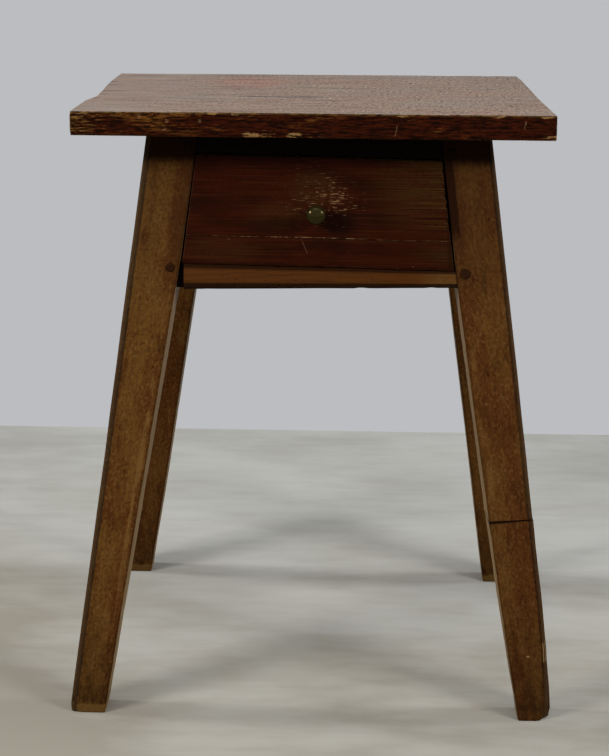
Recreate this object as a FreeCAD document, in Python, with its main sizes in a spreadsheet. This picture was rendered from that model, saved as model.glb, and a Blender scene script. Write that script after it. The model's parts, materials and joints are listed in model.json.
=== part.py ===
"""Tavern table: four splayed legs, pegged rails and aprons, a one-board top and a dovetailed drawer.

The frame stands on the floor at z = 0, its origin under the middle of the four feet. The drawer opens
towards -Y, and -X is the left side of someone who faces the drawer. All sizes are in millimetres.

Every size that can be set by itself is a cell of the sheet "dim". A place or length that follows from
those cells is an expression, put together below from short functions of the height z.
"""
import FreeCAD
import Part
import Sketcher
import math
import os

SIZES = [
    # the whole table and its top
    ("table_height", 686.0, "floor to the upper face of the top"),
    ("top_thickness", 25.4, "one inch board"),
    ("top_length", 515.6, "top board, left to right"),
    ("top_depth", 454.3, "top board, front to back, at its middle"),
    ("top_skew", 18.5, "how much deeper the top is at its right end than at its left"),
    ("top_offset_x", -7.8, "middle of the top from the middle of the frame"),
    ("top_turn", 0.43, "turn of the top on the frame, in degrees"),
    ("top_edge_radius", 2.0, "worn arris of the top"),
    ("bite_depth", 7.0, "chewed hollow in the left end of the top"),
    ("bite_back_y", 110.0, "where the hollow starts at the back"),
    ("bite_deep_y", -64.0, "where the hollow is deepest"),
    ("bite_front_y", -96.0, "where the hollow ends at the front"),
    # the legs
    ("top_overhang_x", 69.7, "half the top's length, less half the frame's under it"),
    ("top_overhang_y", 58.25, "half the top's depth, less half the frame's under it"),
    ("leg_size", 55.7, "side of a leg's square section above the taper"),
    ("foot_size_x", 41.7, "width of a foot, left to right"),
    ("foot_size_y", 36.5, "width of a foot, front to back"),
    ("taper_drop", 7.0, "how far below the aprons the taper of a leg starts"),
    ("front_splay_y", 73.4, "how far the front feet stand in front of their tops"),
    ("front_left_splay_x", 91.7, "how far this foot stands out to the side of its top"),
    ("front_right_splay_x", 85.9, "how far this foot stands out to the side of its top"),
    ("back_left_splay_x", 89.6, "how far this foot stands out to the side of its top"),
    ("back_left_splay_y", 82.0, "how far this foot stands behind its top"),
    ("back_right_splay_x", 77.2, "how far this foot stands out to the side of its top"),
    ("back_right_splay_y", 64.5, "how far this foot stands behind its top"),
    ("corner_bead_radius", 2.9, "bead worked on the outer corner of a leg"),
    ("corner_quirk_width", 2.0, "groove beside that bead"),
    ("splice_height", 231.0, "joint of the spliced foot, at the middle of the leg"),
    ("splice_slope", 0.093, "rise of that joint towards the outside, per unit of width"),
    ("dowel_radius", 7.0, "dowel inside the splice"),
    ("dowel_length", 70.0, "dowel inside the splice"),
    # rails and aprons
    ("apron_height", 171.0, "frame top to the lower edge of aprons and lower rail"),
    ("apron_thickness", 20.0, "side and back aprons"),
    ("apron_setback", 4.0, "an apron's face behind the leg's face"),
    ("rail_thickness", 22.0, "front rails"),
    ("rail_setback", 1.0, "a front rail's face behind the leg's face"),
    ("upper_rail_height", 27.0, "upper front rail, at its middle"),
    ("lower_rail_height", 22.4, "lower front rail, at its middle"),
    ("opening_slope", 0.0158, "fall of the drawer opening towards the right, per unit of width"),
    ("left_shoulder_gap", 4.4, "gap left by the lower rail's square-cut left shoulder, at its top"),
    ("edge_bead_radius", 2.6, "bead on the lower edge of rail and aprons"),
    ("edge_quirk_width", 2.0, "groove above that bead"),
    ("tenon_thickness", 8.0, "all tenons of the frame"),
    ("tenon_length", 24.0, "shoulder to end, at the middle of the tenon"),
    ("tenon_shoulder", 7.0, "step from a face or edge to its tenon"),
    # pegs and nails of the frame
    ("peg_radius", 4.7, "draw-bore pegs"),
    ("peg_length", 30.0, "draw-bore pegs"),
    ("peg_proud", 0.9, "how far a peg stands out of its leg"),
    ("peg_clearance", 0.05, "between a peg or dowel and its hole, on the radius"),
    ("peg_inset", 10.0, "middle of a peg from the inner edge of its leg"),
    ("upper_peg_rise_left", 7.0, "left upper front peg above the edge of the upper rail"),
    ("upper_peg_rise_right", 5.0, "right upper front peg above the edge of the upper rail"),
    ("lower_peg_drop_left", 4.2, "left lower front peg below the top of the lower rail"),
    ("lower_peg_drop_right", 2.6, "right lower front peg below the top of the lower rail"),
    ("apron_peg_inset", 40.0, "apron pegs from the top and the lower edge of the apron"),
    ("nail_head_width", 6.5, "cut nail"),
    ("nail_head_thickness", 2.0, "cut nail"),
    ("nail_width", 3.6, "cut nail, under its head"),
    ("nail_tip_width", 1.8, "cut nail"),
    ("top_nail_length", 48.0, "nail through the top"),
    ("top_nail_spread", 85.0, "top nails from the middle of their rail or apron"),
    # drawer runners
    ("runner_thickness", 18.0, "strip that the drawer runs on"),
    ("runner_ledge", 7.0, "how far the runner reaches in past the drawer's side"),
    ("guide_height", 14.0, "strip beside the drawer, on the runner"),
    ("runner_nail_length", 62.0, "nail through the runner into the side apron"),
    ("runner_nail_spread", 60.0, "runner nails from the middle of the frame"),
    ("guide_nail_length", 26.0, "nail through the guide into the runner"),
    ("stop_width", 18.0, "block behind the drawer"),
    ("stop_height", 12.0, "block behind the drawer"),
    ("stop_gap", 0.3, "drawer's back to the block"),
    # the drawer
    ("drawer_front_setback", 0.5, "drawer front behind the leg's face"),
    ("drawer_front_thickness", 20.0, "drawer front"),
    ("drawer_back_space", 24.8, "drawer's back to the back apron, at the drawer's bottom"),
    ("drawer_top_gap", 2.4, "drawer front under the upper rail"),
    ("drawer_bottom_gap", 0.4, "drawer over the lower rail and runners"),
    ("drawer_end_gap_top", 0.5, "drawer beside the leg, at its top"),
    ("drawer_end_gap_bottom", 2.0, "drawer beside the leg, at its bottom"),
    ("drawer_side_thickness", 11.0, "drawer sides"),
    ("drawer_back_thickness", 11.0, "drawer back"),
    ("drawer_panel_thickness", 8.0, "drawer bottom"),
    ("drawer_panel_lift", 8.0, "underside of the drawer bottom above the edge of the sides"),
    ("groove_depth", 5.0, "groove that holds the drawer bottom"),
    ("tail_length", 14.0, "dovetails of the sides in the drawer front"),
    ("pin_width", 6.0, "dovetail pin at its narrow end"),
    ("pin_flare", 2.0, "dovetail pin, growth on each side"),
    ("drawer_nail_length", 30.0, "nail through the drawer bottom into the drawer back"),
    ("drawer_nail_spread", 90.0, "nails in the drawer's back, from its middle"),
    # the knob
    ("knob_offset_x", -2.5, "knob from the middle of the frame"),
    ("knob_rise", 58.3, "knob above the drawer opening's lower edge"),
    ("knob_radius", 10.2, "ball of the knob"),
    ("knob_reach", 13.5, "middle of the ball in front of the drawer"),
    ("knob_collar_radius", 5.6, "collar at the foot of the knob"),
    ("knob_collar_height", 2.0, "collar at the foot of the knob"),
    ("knob_neck_radius", 3.8, "neck between collar and ball"),
    ("screw_radius", 2.0, "screw that holds the knob"),
    ("screw_clearance", 0.15, "screw in the knob and in the drawer front, on the radius"),
    ("screw_depth", 9.0, "how far the screw reaches into the knob"),
    ("screw_head_radius", 4.2, "screw head inside the drawer"),
    ("screw_head_height", 2.6, "screw head inside the drawer"),
]

LEFT = -1
RIGHT = 1
FRONT = -1
BACK = 1
TAILS = 3
QUARTER_TURN = 90

# How a sketch plane's normal runs along its world axis.
NORMAL = {"XY_Plane": 1, "XZ_Plane": -1, "YZ_Plane": 1}

doc = FreeCAD.newDocument("tavern_table")
sheet = doc.addObject("Spreadsheet::Sheet", "dim")
nodes = []


def fill_sheet():
    """Writes each size with its alias and a note."""
    for row, (alias, value, note) in enumerate(SIZES, start=1):
        sheet.set(f"A{row}", alias)
        sheet.set(f"B{row}", str(value))
        sheet.set(f"C{row}", note)
        sheet.setAlias(f"B{row}", alias)
    doc.recompute()


# ---------------------------------------------------------------- places that follow from the sizes

FRAME_HEIGHT = "(dim.table_height - dim.top_thickness)"
HALF_LENGTH = "(dim.top_length / 2 - dim.top_overhang_x)"
HALF_DEPTH = "(dim.top_depth / 2 - dim.top_overhang_y)"
CENTRE_X = "((dim.front_left_splay_x - dim.front_right_splay_x) / 2)"
CENTRE_Y = "((dim.front_splay_y - dim.back_left_splay_y) / 2)"
APRON_BOTTOM = f"({FRAME_HEIGHT} - dim.apron_height)"
TAPER_START = f"({APRON_BOTTOM} - dim.taper_drop)"
OPENING_TOP = f"({FRAME_HEIGHT} - dim.upper_rail_height)"
OPENING_BOTTOM = f"({APRON_BOTTOM} + dim.lower_rail_height)"
OPENING_FALL = f"(dim.opening_slope * {HALF_LENGTH})"
FRONT_CANT = f"atan(dim.front_splay_y / {FRAME_HEIGHT})"

# Stock longer than any piece, which is then sawn to length.
AMPLE = "(2 * dim.table_height)"


class Leg:
    """One leg: which corner it stands at, and how far its foot stands out of its top."""

    def __init__(self, name, side, end, splay_x, splay_y):
        self.name = name
        self.side = side
        self.end = end
        self.splay_x = splay_x
        self.splay_y = splay_y

    def outer_x(self, z):
        run = f"{self.splay_x} * ({FRAME_HEIGHT} - ({z})) / {FRAME_HEIGHT}"
        return f"({CENTRE_X} + {self.side} * ({HALF_LENGTH} + {run}))"

    def inner_x(self, z):
        return f"({self.outer_x(z)} - {self.side} * dim.leg_size)"

    def outer_y(self, z):
        run = f"{self.splay_y} * ({FRAME_HEIGHT} - ({z})) / {FRAME_HEIGHT}"
        return f"({CENTRE_Y} + {self.end} * ({HALF_DEPTH} + {run}))"

    def inner_y(self, z):
        return f"({self.outer_y(z)} - {self.end} * dim.leg_size)"

    def apron_face(self, z):
        """X of the outer face of a side apron that leans with this leg."""
        return f"({self.outer_x(z)} - {self.side} * dim.apron_setback)"

    def apron_inside(self, z):
        return f"({self.apron_face(z)} - {self.side} * dim.apron_thickness)"


FRONT_LEFT = Leg("front_left_leg", LEFT, FRONT, "dim.front_left_splay_x", "dim.front_splay_y")
FRONT_RIGHT = Leg("front_right_leg", RIGHT, FRONT, "dim.front_right_splay_x", "dim.front_splay_y")
BACK_LEFT = Leg("back_left_leg", LEFT, BACK, "dim.back_left_splay_x", "dim.back_left_splay_y")
BACK_RIGHT = Leg("back_right_leg", RIGHT, BACK, "dim.back_right_splay_x", "dim.back_right_splay_y")


def rail_face(z):
    """Y of the front rails' front face."""
    return f"({FRONT_LEFT.outer_y(z)} + dim.rail_setback)"


def rail_back(z):
    return f"({rail_face(z)} + dim.rail_thickness)"


def back_apron_face(z):
    """Y of the back apron's outer face, canted halfway between its two legs."""
    return f"(({BACK_LEFT.outer_y(z)} + {BACK_RIGHT.outer_y(z)}) / 2 - dim.apron_setback)"


def back_apron_inside(z):
    return f"({back_apron_face(z)} - dim.apron_thickness)"


def drawer_face(z):
    """Y of the drawer front's front face."""
    return f"({FRONT_LEFT.outer_y(z)} + dim.drawer_front_setback)"


def drawer_face_back(z):
    return f"({drawer_face(z)} + dim.drawer_front_thickness)"


def tail_end(z):
    """Y where the sides' dovetails end inside the drawer front."""
    return f"({drawer_face_back(z)} - dim.tail_length)"


def clear_x(side, z):
    """X of the leg faces that the drawer passes between, the narrower pair."""
    if side == LEFT:
        return f"max({FRONT_LEFT.inner_x(z)}; {BACK_LEFT.inner_x(z)})"
    return f"min({FRONT_RIGHT.inner_x(z)}; {BACK_RIGHT.inner_x(z)})"


def fall(x):
    """How far the drawer opening has dropped at x."""
    return f"(dim.opening_slope * (({x}) - {CENTRE_X}))"


DRAWER_BACK_Y = f"({back_apron_inside(OPENING_BOTTOM)} - dim.drawer_back_space)"


def drawer_back_outside(z):
    """Y of the drawer back's outer face, which is upright: the same at every height z."""
    return DRAWER_BACK_Y


def drawer_back_inside(z):
    return f"({drawer_back_outside(z)} - dim.drawer_back_thickness)"


def between(near, far, bottom, top):
    """Loop of four corners between two slanting lines, from one height to another."""
    return [(near(bottom), bottom), (far(bottom), bottom), (far(top), top), (near(top), top)]


class DrawerEnd:
    """The slanted line at one end of the drawer, which its front and its side share."""

    def __init__(self, side):
        self.side = side
        self.top_x = f"({clear_x(side, OPENING_TOP)} - {side} * dim.drawer_end_gap_top)"
        self.bottom_x = f"({clear_x(side, OPENING_BOTTOM)} - {side} * dim.drawer_end_gap_bottom)"
        self.top_z = f"({OPENING_TOP} - dim.drawer_top_gap - {fall(self.top_x)})"
        self.runner_z = f"({OPENING_BOTTOM} - {fall(self.bottom_x)})"
        self.bottom_z = f"({self.runner_z} + dim.drawer_bottom_gap)"

    def outer_x(self, lift):
        """X of the outer face at a height above the drawer's lower edge."""
        share = f"({lift}) / ({self.top_z} - {self.bottom_z})"
        return f"({self.bottom_x} + ({self.top_x} - {self.bottom_x}) * {share})"

    def groove_x(self, lift):
        """X of the bottom of the groove that the drawer bottom sits in."""
        return f"({self.outer_x(lift)} - {self.side} * (dim.drawer_side_thickness - dim.groove_depth))"


LEFT_END = DrawerEnd(LEFT)
RIGHT_END = DrawerEnd(RIGHT)
PANEL_TOP_LIFT = "(dim.drawer_panel_lift + dim.drawer_panel_thickness)"


# ---------------------------------------------------------------------------- sketches and features


def number(expression):
    """Value of an expression now, for the first shape of a sketch."""
    return float(sheet.evalExpression(expression))


class Arc:
    """A round edge between the two corners beside it in a loop; its end corner is held in x only."""

    def __init__(self, centre, clockwise):
        self.centre = centre
        self.clockwise = clockwise


def edge_geometry(start, end, arc):
    """Line or arc between two corners, and which of its ends the loop enters and leaves by."""
    a = FreeCAD.Vector(number(start[0]), number(start[1]), 0)
    b = FreeCAD.Vector(number(end[0]), number(end[1]), 0)
    if arc is None:
        return Part.LineSegment(a, b), 1, 2
    centre = FreeCAD.Vector(number(arc.centre[0]), number(arc.centre[1]), 0)
    angle_a = math.atan2(a.y - centre.y, a.x - centre.x)
    angle_b = math.atan2(b.y - centre.y, b.x - centre.x)
    circle = Part.Circle(centre, FreeCAD.Vector(0, 0, 1), a.distanceToPoint(centre))
    if arc.clockwise:
        return Part.ArcOfCircle(circle, angle_b, angle_a), 2, 1
    return Part.ArcOfCircle(circle, angle_a, angle_b), 1, 2


def hold(sketch, kind, edge, position, expression):
    """Ties one coordinate of a point to an expression."""
    constraint = Sketcher.Constraint(kind, -1, 1, edge, position, number(expression))
    index = sketch.addConstraint(constraint)
    sketch.setExpression(f"Constraints[{index}]", expression)


def draw_loop(sketch, loop):
    """Draws one closed loop of corners, with an Arc between two corners where the edge is round."""
    corners = [item for item in loop if not isinstance(item, Arc)]
    arcs = [None] * len(corners)
    for step, item in enumerate(loop):
        if isinstance(item, Arc):
            arcs[corners.index(loop[step - 1])] = item
    edges = []
    for index, corner in enumerate(corners):
        following = corners[(index + 1) % len(corners)]
        shape, enters, leaves = edge_geometry(corner, following, arcs[index])
        edges.append((sketch.addGeometry(shape), enters, leaves))
    for index, (edge, enters, leaves) in enumerate(edges):
        next_edge, next_enters, _ = edges[(index + 1) % len(edges)]
        sketch.addConstraint(Sketcher.Constraint("Coincident", edge, leaves, next_edge, next_enters))
    for index, (edge, enters, leaves) in enumerate(edges):
        hold(sketch, "DistanceX", edge, enters, corners[index][0])
        if arcs[index - 1] is None:
            hold(sketch, "DistanceY", edge, enters, corners[index][1])
        if arcs[index] is not None:
            hold(sketch, "DistanceX", edge, 3, arcs[index].centre[0])
            hold(sketch, "DistanceY", edge, 3, arcs[index].centre[1])


def draw(body, name, plane, loops, distance="0"):
    """Sketch parallel to one of the body's origin planes, at a distance along the plane's world axis."""
    sketch = body.newObject("Sketcher::SketchObject", name)
    origin_plane = [item for item in body.Origin.OriginFeatures if item.Role == plane][0]
    sketch.AttachmentSupport = [(origin_plane, "")]
    sketch.MapMode = "FlatFace"
    sketch.setExpression("AttachmentOffset.Base.z", f"{NORMAL[plane]} * ({distance})")
    for loop in loops:
        draw_loop(sketch, loop)
    return sketch


def new_body(name):
    body = doc.addObject("PartDesign::Body", name)
    body.Label = name
    return body


def pad(body, sketch, length, symmetric=False):
    """Solid from a sketch, along the sketch's normal."""
    feature = body.newObject("PartDesign::Pad", sketch.Name + "_pad")
    feature.Profile = sketch
    if symmetric:
        feature.SideType = "Symmetric"
    feature.setExpression("Length", length)
    return feature


def cut_through(body, sketch):
    """Removes everything inside the sketch, on both sides of its plane."""
    doc.recompute()
    before = body.Shape.Volume
    feature = body.newObject("PartDesign::Pocket", sketch.Name + "_pocket")
    feature.Profile = sketch
    feature.SideType = "Symmetric"
    feature.Type = "ThroughAll"
    doc.recompute()
    if not body.Shape.Volume < before:
        raise RuntimeError(f"{feature.Name} cut nothing")
    return feature


def trim_to(body, name, plane, loop):
    """Saws away everything outside a loop."""
    surround = [(f"-{AMPLE}", f"-{AMPLE}"), (AMPLE, f"-{AMPLE}"), (AMPLE, AMPLE), (f"-{AMPLE}", AMPLE)]
    return cut_through(body, draw(body, name, plane, [surround, loop]))


def keep(feature, node):
    """Names a finished piece and puts it on the list of pieces to write."""
    feature.Label = node
    nodes.append(feature)
    return feature


def cut_from(base, tools, name):
    """The base with each tool cut out of it, one after another."""
    for count, tool in enumerate(tools, start=1):
        cut = doc.addObject("Part::Cut", f"{name}_cut_{count}")
        cut.Base = base
        cut.Tool = tool
        base = cut
    return base


def group(pieces, name):
    """Several separate solids as one object."""
    compound = doc.addObject("Part::Compound", name)
    compound.Links = pieces
    return compound


def place(feature, x, y, z, axis="0; 0; 1", angle="0"):
    """Binds the placement of an object: where its origin is, and its turn about an axis."""
    base = f"vector({x}; {y}; {z})"
    feature.setExpression("Placement", f"placement({base}; rotation(vector({axis}); {angle}))")


def cylinder(name, radius, length):
    feature = doc.addObject("Part::Cylinder", name)
    feature.setExpression("Radius", radius)
    feature.setExpression("Height", length)
    return feature


# --------------------------------------------------------------------------------------------- legs


def leg_blank(leg):
    """An oblique square prism with a bead on its outer corner, tapered on its two inner faces."""
    body = new_body(leg.name + "_blank")
    place(body, leg.outer_x("0"), leg.outer_y("0"), "0")
    in_x = -leg.side
    in_y = -leg.end
    size = "dim.leg_size"
    bead = "dim.corner_bead_radius"
    quirk = f"(2 * {bead} + dim.corner_quirk_width)"
    section = [
        (f"{in_x} * {size}", "0"),
        (f"{in_x} * {quirk}", "0"),
        (f"{in_x} * 2 * {bead}", f"{in_y} * {bead}"),
        Arc((f"{in_x} * {bead}", f"{in_y} * {bead}"), clockwise=in_x * in_y > 0),
        (f"{in_x} * {bead}", f"{in_y} * 2 * {bead}"),
        ("0", f"{in_y} * {quirk}"),
        ("0", f"{in_y} * {size}"),
        (f"{in_x} * {size}", f"{in_y} * {size}"),
    ]
    stem = pad(body, draw(body, leg.name + "_section", "XY_Plane", [section]), FRAME_HEIGHT)
    stem.UseCustomVector = True
    stem.AlongSketchNormal = True
    stem.Direction = FreeCAD.Vector(0, 0, 1)
    stem.setExpression("Direction.x", f"{in_x} * {leg.splay_x} / {FRAME_HEIGHT}")
    stem.setExpression("Direction.y", f"{in_y} * {leg.splay_y} / {FRAME_HEIGHT}")
    for plane, inward, splay, foot in (
        ("XZ_Plane", in_x, leg.splay_x, "dim.foot_size_x"),
        ("YZ_Plane", in_y, leg.splay_y, "dim.foot_size_y"),
    ):
        start = f"{inward} * ({size} + {splay} * {TAPER_START} / {FRAME_HEIGHT})"
        waste = [(start, TAPER_START), (f"{inward} * {foot}", "0"), (start, "0")]
        cut_through(body, draw(body, f"{leg.name}_taper_{plane[:2]}", plane, [waste]))
    return body


# ---------------------------------------------------------------------------------- rails and aprons


def canted_profile(face, inward, thickness, bottom, top, beaded):
    """Section of a board that leans with the legs, with a bead and quirk on its lower outer edge."""
    foot = face(bottom)
    upper = [
        (f"{face(top)} + {inward} * {thickness}", top),
        (face(top), top),
    ]
    back = (f"{foot} + {inward} * {thickness}", bottom)
    if not beaded:
        return upper + [(foot, bottom), back]
    bead = "dim.edge_bead_radius"
    bead_x = f"{foot} + {inward} * {bead}"
    quirk_top = f"({bottom} + 2 * {bead} + dim.edge_quirk_width)"
    return upper + [
        (face(quirk_top), quirk_top),
        (bead_x, f"{bottom} + 2 * {bead}"),
        Arc((bead_x, f"{bottom} + {bead}"), clockwise=inward < 0),
        (bead_x, bottom),
        back,
    ]


def tenon_profile(face, inward, bottom, top):
    """Section of the tenons, parallel to the board's face."""
    near = "dim.tenon_shoulder"
    far = "(dim.tenon_shoulder + dim.tenon_thickness)"
    return [
        (f"{face(bottom)} + {inward} * {near}", bottom),
        (f"{face(bottom)} + {inward} * {far}", bottom),
        (f"{face(top)} + {inward} * {far}", top),
        (f"{face(top)} + {inward} * {near}", top),
    ]


def add_tenons(body, name, plane, loop, low, high):
    """One pad from tenon end to tenon end, through the board, between two places on the other axis."""
    start = low if NORMAL[plane] > 0 else high
    return pad(body, draw(body, name, plane, [loop], start), f"{high} - {low}")


def upper_front_rail_blank():
    """Rail above the drawer. Its lower edge follows the slope of the drawer opening."""
    body = new_body("upper_front_rail_blank")
    low = f"({OPENING_TOP} - {OPENING_FALL})"
    section = canted_profile(rail_face, 1, "dim.rail_thickness", low, FRAME_HEIGHT, beaded=False)
    pad(body, draw(body, "upper_rail_section", "YZ_Plane", [section]), AMPLE, symmetric=True)
    shoulders = between(FRONT_LEFT.inner_x, FRONT_RIGHT.inner_x, low, FRAME_HEIGHT)
    trim_to(body, "upper_rail_shoulders", "XZ_Plane", shoulders)
    tenon = tenon_profile(rail_face, 1, low, f"({FRAME_HEIGHT} - dim.tenon_shoulder)")
    add_tenons(
        body, "upper_rail_tenons", "YZ_Plane", tenon,
        f"({FRONT_LEFT.inner_x(OPENING_TOP)} - dim.tenon_length)",
        f"({FRONT_RIGHT.inner_x(OPENING_TOP)} + dim.tenon_length)",
    )
    below = [
        (f"{CENTRE_X} - {HALF_LENGTH}", f"{OPENING_TOP} + {OPENING_FALL}"),
        (f"{CENTRE_X} + {HALF_LENGTH}", low),
        (f"{CENTRE_X} - {HALF_LENGTH}", low),
    ]
    cut_through(body, draw(body, "upper_rail_slope", "XZ_Plane", [below]))
    return body


def lower_front_rail_blank():
    """Drawer blade: beaded below, sloped above, its left shoulder cut square and short of the leg."""
    body = new_body("lower_front_rail_blank")
    high = f"({OPENING_BOTTOM} + {OPENING_FALL})"
    section = canted_profile(rail_face, 1, "dim.rail_thickness", APRON_BOTTOM, high, beaded=True)
    pad(body, draw(body, "lower_rail_section", "YZ_Plane", [section]), AMPLE, symmetric=True)
    square_end = f"({FRONT_LEFT.inner_x(OPENING_BOTTOM)} + dim.left_shoulder_gap)"
    shoulders = [
        (square_end, APRON_BOTTOM),
        (FRONT_RIGHT.inner_x(APRON_BOTTOM), APRON_BOTTOM),
        (FRONT_RIGHT.inner_x(high), high),
        (square_end, high),
    ]
    trim_to(body, "lower_rail_shoulders", "XZ_Plane", shoulders)
    tenon = tenon_profile(rail_face, 1, f"({APRON_BOTTOM} + dim.tenon_shoulder)", high)
    add_tenons(
        body, "lower_rail_tenons", "YZ_Plane", tenon,
        f"({FRONT_LEFT.inner_x(OPENING_BOTTOM)} - dim.tenon_length)",
        f"({FRONT_RIGHT.inner_x(OPENING_BOTTOM)} + dim.tenon_length)",
    )
    above = [
        (f"{CENTRE_X} - {HALF_LENGTH}", high),
        (f"{CENTRE_X} + {HALF_LENGTH}", f"{OPENING_BOTTOM} - {OPENING_FALL}"),
        (f"{CENTRE_X} + {HALF_LENGTH}", high),
    ]
    cut_through(body, draw(body, "lower_rail_slope", "XZ_Plane", [above]))
    return body


APRON_MIDDLE = f"({FRAME_HEIGHT} - dim.apron_height / 2)"
APRON_TENON_BOTTOM = f"({APRON_BOTTOM} + dim.tenon_shoulder + 2 * dim.edge_bead_radius)"
APRON_TENON_TOP = f"({FRAME_HEIGHT} - dim.tenon_shoulder)"


def side_apron_blank(name, front_leg, back_leg):
    """Side apron, leaning with the front leg, its shoulders cut to the slant of both legs."""
    body = new_body(name + "_blank")
    face = front_leg.apron_face
    inward = -front_leg.side
    section = canted_profile(face, inward, "dim.apron_thickness", APRON_BOTTOM, FRAME_HEIGHT, beaded=True)
    pad(body, draw(body, name + "_section", "XZ_Plane", [section]), AMPLE, symmetric=True)
    shoulders = between(front_leg.inner_y, back_leg.inner_y, APRON_BOTTOM, FRAME_HEIGHT)
    trim_to(body, name + "_shoulders", "YZ_Plane", shoulders)
    tenon = tenon_profile(face, inward, APRON_TENON_BOTTOM, APRON_TENON_TOP)
    add_tenons(
        body, name + "_tenons", "XZ_Plane", tenon,
        f"({front_leg.inner_y(APRON_MIDDLE)} - dim.tenon_length)",
        f"({back_leg.inner_y(APRON_MIDDLE)} + dim.tenon_length)",
    )
    return body


def back_apron_blank():
    """Back apron, its shoulders cut to the slant of the two back legs."""
    body = new_body("back_apron_blank")
    section = canted_profile(
        back_apron_face, -1, "dim.apron_thickness", APRON_BOTTOM, FRAME_HEIGHT, beaded=True
    )
    pad(body, draw(body, "back_apron_section", "YZ_Plane", [section]), AMPLE, symmetric=True)
    shoulders = between(BACK_LEFT.inner_x, BACK_RIGHT.inner_x, APRON_BOTTOM, FRAME_HEIGHT)
    trim_to(body, "back_apron_shoulders", "XZ_Plane", shoulders)
    tenon = tenon_profile(back_apron_face, -1, APRON_TENON_BOTTOM, APRON_TENON_TOP)
    add_tenons(
        body, "back_apron_tenons", "YZ_Plane", tenon,
        f"({BACK_LEFT.inner_x(APRON_MIDDLE)} - dim.tenon_length)",
        f"({BACK_RIGHT.inner_x(APRON_MIDDLE)} + dim.tenon_length)",
    )
    return body


# ------------------------------------------------------------------------------------ pegs and nails


def peg_and_hole(name, leg, through_x, z):
    """A round peg driven level through a leg's outer face, and the slightly larger hole for it."""
    if through_x:
        x = f"({leg.outer_x(z)} + {leg.side} * dim.peg_proud)"
        y = f"({leg.inner_y(z)} + {leg.end} * dim.peg_inset)"
        turn = ("0; 1; 0", f"{-leg.side * QUARTER_TURN}")
    else:
        x = f"({leg.inner_x(z)} + {leg.side} * dim.peg_inset)"
        y = f"({leg.outer_y(z)} + {leg.end} * dim.peg_proud)"
        turn = ("1; 0; 0", f"{leg.end * QUARTER_TURN}")
    peg = cylinder(name, "dim.peg_radius", "dim.peg_length")
    hole = cylinder(name + "_hole", "dim.peg_radius + dim.peg_clearance", "dim.peg_length")
    place(peg, x, y, z, *turn)
    place(hole, x, y, z, *turn)
    return peg, hole


def front_rail_pegs():
    """Pegs and holes of the two front legs: one for each end of each front rail."""
    pairs = {}
    for leg, rise, drop in (
        (FRONT_LEFT, "dim.upper_peg_rise_left", "dim.lower_peg_drop_left"),
        (FRONT_RIGHT, "dim.upper_peg_rise_right", "dim.lower_peg_drop_right"),
    ):
        upper_z = f"({OPENING_TOP} - {fall(leg.inner_x(OPENING_TOP))} + {rise})"
        lower_z = f"({OPENING_BOTTOM} - {fall(leg.inner_x(OPENING_BOTTOM))} - {drop})"
        pairs[leg] = [
            peg_and_hole(leg.name + "_upper_peg", leg, False, upper_z),
            peg_and_hole(leg.name + "_lower_peg", leg, False, lower_z),
        ]
    return pairs


def apron_pegs(legs, through_x, name):
    """Pegs and holes for aprons: two for each tenon."""
    upper_z = f"({FRAME_HEIGHT} - dim.apron_peg_inset)"
    lower_z = f"({APRON_BOTTOM} + dim.apron_peg_inset)"
    pairs = {}
    for leg in legs:
        pairs[leg] = [
            peg_and_hole(f"{leg.name}_{name}_upper", leg, through_x, upper_z),
            peg_and_hole(f"{leg.name}_{name}_lower", leg, through_x, lower_z),
        ]
    return pairs


def wedge(name, start, end, start_width, end_width):
    """A square bar along its own Y that tapers from one width to another."""
    feature = doc.addObject("Part::Wedge", name)
    for side, sign in (("min", "-"), ("max", "")):
        feature.setExpression("X" + side, f"{sign}{start_width} / 2")
        feature.setExpression("Z" + side, f"{sign}{start_width} / 2")
        feature.setExpression("X2" + side, f"{sign}{end_width} / 2")
        feature.setExpression("Z2" + side, f"{sign}{end_width} / 2")
    feature.setExpression("Ymin", start)
    feature.setExpression("Ymax", end)
    return feature


def cut_nail(name, length, x, y, z, axis, angle):
    """A cut nail whose head is level with x, y, z; its own Y runs from head to tip."""
    neck = "dim.nail_head_thickness"
    nail = doc.addObject("Part::Fuse", name)
    nail.Base = wedge(name + "_head", "0", neck, "dim.nail_head_width", "dim.nail_width")
    nail.Tool = wedge(name + "_shank", neck, length, "dim.nail_width", "dim.nail_tip_width")
    place(nail, x, y, z, axis, angle)
    return nail


def nail_down(name, length, x, y, z):
    return cut_nail(name, length, x, y, z, "1; 0; 0", f"{-QUARTER_TURN}")


def top_nails():
    """Nails down through the top, two into each apron and two into the upper front rail."""
    below = f"({FRAME_HEIGHT} - (dim.top_nail_length - dim.top_thickness) / 2)"
    spots = {}
    for name, leg in (("left", FRONT_LEFT), ("right", FRONT_RIGHT)):
        x = f"({leg.apron_face(below)} + {leg.apron_inside(below)}) / 2"
        spots[name] = [(x, f"{CENTRE_Y} + {sign} * dim.top_nail_spread") for sign in (FRONT, BACK)]
    back_y = f"({back_apron_face(below)} + {back_apron_inside(below)}) / 2"
    front_y = f"({rail_face(below)} + {rail_back(below)}) / 2"
    for name, y in (("back", back_y), ("front", front_y)):
        spots[name] = [(f"{CENTRE_X} + {sign} * dim.top_nail_spread", y) for sign in (LEFT, RIGHT)]
    nails = {}
    for name, places in spots.items():
        nails[name] = [
            nail_down(f"top_nail_{name}_{count}", "dim.top_nail_length", x, y, "dim.table_height")
            for count, (x, y) in enumerate(places, start=1)
        ]
    return nails


# ----------------------------------------------------------------------------------------------- top


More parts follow.
